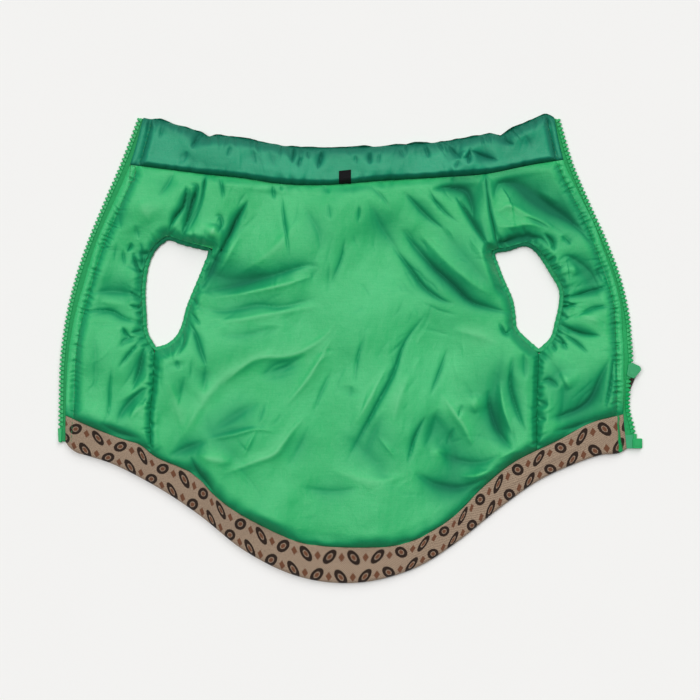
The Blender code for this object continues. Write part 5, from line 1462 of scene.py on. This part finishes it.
def make_teeth(tree, toothed_edges, finish):
    """The teeth along both tapes' edges, down to the retaining box and the pin."""
    shape = tooth(finish)
    rows = dict(Pitch=TOOTH_PITCH * MM, Finish=finish, Turn=0.03, Smallest=0.97)
    for seed, (side, line) in enumerate(toothed_edges.items()):
        node = "zip_chain_" + side
        line = line[line[:, 1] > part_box(node)[0].y / MM + 1.2] + (0.0, 0.0, 0.45)
        if side == "left":
            line = line[::-1]
        teeth = row_of("teeth_" + side, tree, [line], shape, Seed=seed, **rows)
        settle(teeth, "zip_plastic", node)
    bpy.data.objects.remove(shape)


def laid_on(line, height, lift=0.1):
    """The part of a line that lies on a surface, at its height."""
    found = [(x, y, height(x, y)) for x, y in line[:, :2]]
    return np.array([(x, y, z + lift) for x, y, z in found if z is not None])


def stitched_path(line, gaps, trims):
    """A line beside an edge, with its distance from the edge at both ends, and its ends left off."""
    line = resampled(line[:, :2], int(lengths(line[:, :2])[-1]))
    share = np.linspace(0, 1, len(line))[:, None]
    moved = offset(line, gaps[0] + (gaps[1] - gaps[0]) * share)
    return moved[trims[0] : len(moved) - trims[1]]


def topstitching_lines(padded_pieces, facing, facing_lines):
    """The topstitching beside the zip, at the collar's ends and on the facing, each line on its piece."""
    rows = [
        ("lining_front_left", FRONT_LEFT_EDGES, 5, (5.7, 5.7), (1, 3)),
        ("lining_front_right", FRONT_RIGHT_EDGES, 1, (4.9, 4.9), (3, 1)),
        ("collar_lining", COLLAR_EDGES, 1, (6.4, 3.4), (4, 3)),
        ("collar_lining", COLLAR_EDGES, 3, (6.2, 6.2), (3, 4)),
    ]
    laid = []
    for node, edges, index, gaps, trims in rows:
        line = outline_lines(node, edges, 0.0)[index]
        laid.append(laid_on(stitched_path(line, gaps, trims), surface(padded_pieces[node])))
    on_facing = surface(facing)
    for index, gaps in ((1, (4.6, 3.4)), (3, (4.4, 5.4))):
        laid.append(laid_on(stitched_path(facing_lines[index], gaps, (1, 1)), on_facing))
    return laid


def pull_stitch_lines(place):
    """The stitches round the pull tab, on both of its faces."""
    border = eased(np.array(PULL_BORDER), 0.9, 5)
    border = np.vstack([border, border[:1]])
    loops = []
    for height in (-PULL_THICK / 2, PULL_THICK / 2):
        flat = [place @ Vector((x * MM, y * MM, height * MM)) for x, y in border]
        loops.append(np.array(flat) / MM)
    return loops


def make_stitches(tree, padded_pieces, facing, facing_lines, pull_place, green, brown):
    """The topstitching, the bar tack at the left neck seam and the pull tab's stitches."""
    tack = resampled(np.array(TACK + TACK[:1], float), 34)
    tack = laid_on(tack, surface(padded_pieces["lining_front_left"]))
    sewn = topstitching_lines(padded_pieces, facing, facing_lines)
    on_pull = pull_stitch_lines(pull_place)
    rows = (
        ("topstitching", sewn, green, STITCH_PITCH, 0.09, 0.86, "lining_satin", VEST),
        ("bar_tack", [tack], green, TACK_PITCH, 0.09, 0.86, "lining_satin", VEST),
        ("pull_stitches", on_pull, brown, PULL_PITCH, 0.03, 0.8, "pull_leather", PULL_TAB),
    )
    for i, (name, lines, thread, pitch, turn, smallest, slot, body) in enumerate(rows):
        shape = stitch(thread)
        given = dict(Pitch=pitch * MM, Finish=thread, Seed=STITCH_SEED + i, Turn=turn, Smallest=smallest)
        settle(row_of(name, tree, lines, shape, **given), slot, body=body)
        bpy.data.objects.remove(shape)


def make_label(collar, finish):
    """A blank ribbed ribbon that lies on the collar, sewn in at the neck seam."""
    height = surface(collar)
    low, high = (np.array(corner)[:2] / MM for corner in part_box("label"))
    across, up = np.linspace(0, 1, 25), np.linspace(1, 0, 49)
    x = low[0] + (high[0] - low[0]) * across[None, :] + 0 * up[:, None]
    y = low[1] + (high[1] - low[1]) * up[:, None] + 0.9 * (across[None, :] - 0.6) * up[:, None]
    around = ((0, 0), (1.2, 0), (-1.2, 0), (0, 1.2), (0, -1.2))
    below = np.empty(x.shape)
    for place in np.ndindex(x.shape):
        found = [height(x[place] + a, y[place] + b) for a, b in around]
        below[place] = np.mean([z for z in found if z is not None])
    ribs = LABEL_RIB * np.sin(np.arange(len(up)) * np.pi / 2)[:, None] ** 2
    grid = np.dstack([x, y, below])
    piece = slab("label_ribbon", grid, below + LABEL_THICK + ribs, below - LABEL_SUNK, finish)
    settle(piece, "label_ribbon", "label")


def main():
    # Each satin's colours: painted highlight, then light and dark tone with partly painted sheen, then middle
    # and darkest painted shade; then its roughness.
    green = satin(
        "green_satin", rgb(136, 218, 160), rgb(72, 196, 124), rgb(28, 174, 98), rgb(16, 172, 104),
        rgb(0, 108, 76), 0.35,
    )
    teal = satin(
        "teal_satin", rgb(84, 184, 146), rgb(32, 166, 122), rgb(14, 144, 104), rgb(6, 140, 106),
        rgb(0, 92, 74), 0.38,
    )
    tan_back = canvas("tan_canvas", mapped=False)
    tan_strip = canvas("tan_canvas_strip", mapped=True)
    satins = {"lining_satin": green, "collar_satin": teal}
    padded = {row.node: make_padded(row, PADDED_SEED + i, satins[row.slot]) for i, row in enumerate(PADDED)}
    facing, facing_lines = make_facing(tan_strip)
    make_shells(tan_back)
    make_armhole_edges(green)
    toothed_edges = make_tapes(tape_cloth())
    plastic = moulded("zip_plastic", rgb(8, 176, 96), rgb(0, 152, 82), 0.45)
    make_slider(moulded("slider_paint", rgb(44, 168, 106), rgb(30, 146, 90), 0.38))
    pull_place = make_pull(leather())
    make_box_and_pin(plastic, moulded("tape_end_film", rgb(50, 168, 112), rgb(34, 146, 96), 0.3))
    make_label(padded["collar_lining"], ribbon())
    tree = row_tree()
    make_teeth(tree, toothed_edges, plastic)
    green_thread = thread_cloth("green_thread", rgb(8, 112, 60), rgb(30, 150, 88))
    brown_thread = thread_cloth("brown_thread", rgb(46, 30, 20), rgb(86, 60, 42))
    make_stitches(tree, padded, facing, facing_lines, pull_place, green_thread, brown_thread)
    set_the_stage()


def set_the_stage():
    """A pale floor, soft light from above, and the camera straight over the vest."""
    paper = Finish("pale_paper", 0.9, Specular_IOR_Level=0.1)
    paper.colour(paper.blend(paper.noise(paper.places(), 8.0), rgb(245, 244, 242), rgb(247, 246, 244)))
    sides = ((-1, -1), (1, -1), (1, 1), (-1, 1))
    corners = [(x * FLOOR_HALF, y * FLOOR_HALF, -FLOOR_DROP) for x, y in sides]
    mesh_object("floor", corners, [(0, 1, 2, 3)], paper.material)

    world = bpy.data.worlds.new("studio")
    world.use_nodes = True
    sky = world.node_tree.nodes["Background"].inputs
    sky["Color"].default_value = (0.95, 0.98, 1.0, 1.0)
    sky["Strength"].default_value = 0.13
    bpy.context.scene.world = world
    for light in LIGHTS:
        soft_light(light)

    data = bpy.data.cameras.new("camera")
    data.lens = CAMERA_LENS
    data.sensor_width = CAMERA_SENSOR
    camera = placed("camera", data)
    away = PICTURE_WIDE * CAMERA_LENS / CAMERA_SENSOR + GARMENT_MIDDLE_HIGH
    camera.location = (0.0, PICTURE_MIDDLE_Y * MM, away * MM)
    bpy.context.scene.camera = camera
    bpy.context.scene.view_settings.view_transform = "Standard"


def soft_light(row):
    """A wide, even light from far away."""
    data = bpy.data.lights.new(row.name, "SUN")
    direction = Vector(row.direction).normalized()
    data.angle = math.radians(row.spread)
    data.energy = row.share * math.pi / direction.z
    light = placed(row.name, data)
    light.location = direction * LIGHT_AWAY * MM
    light.rotation_euler = direction.to_track_quat("Z", "Y").to_euler()


main()
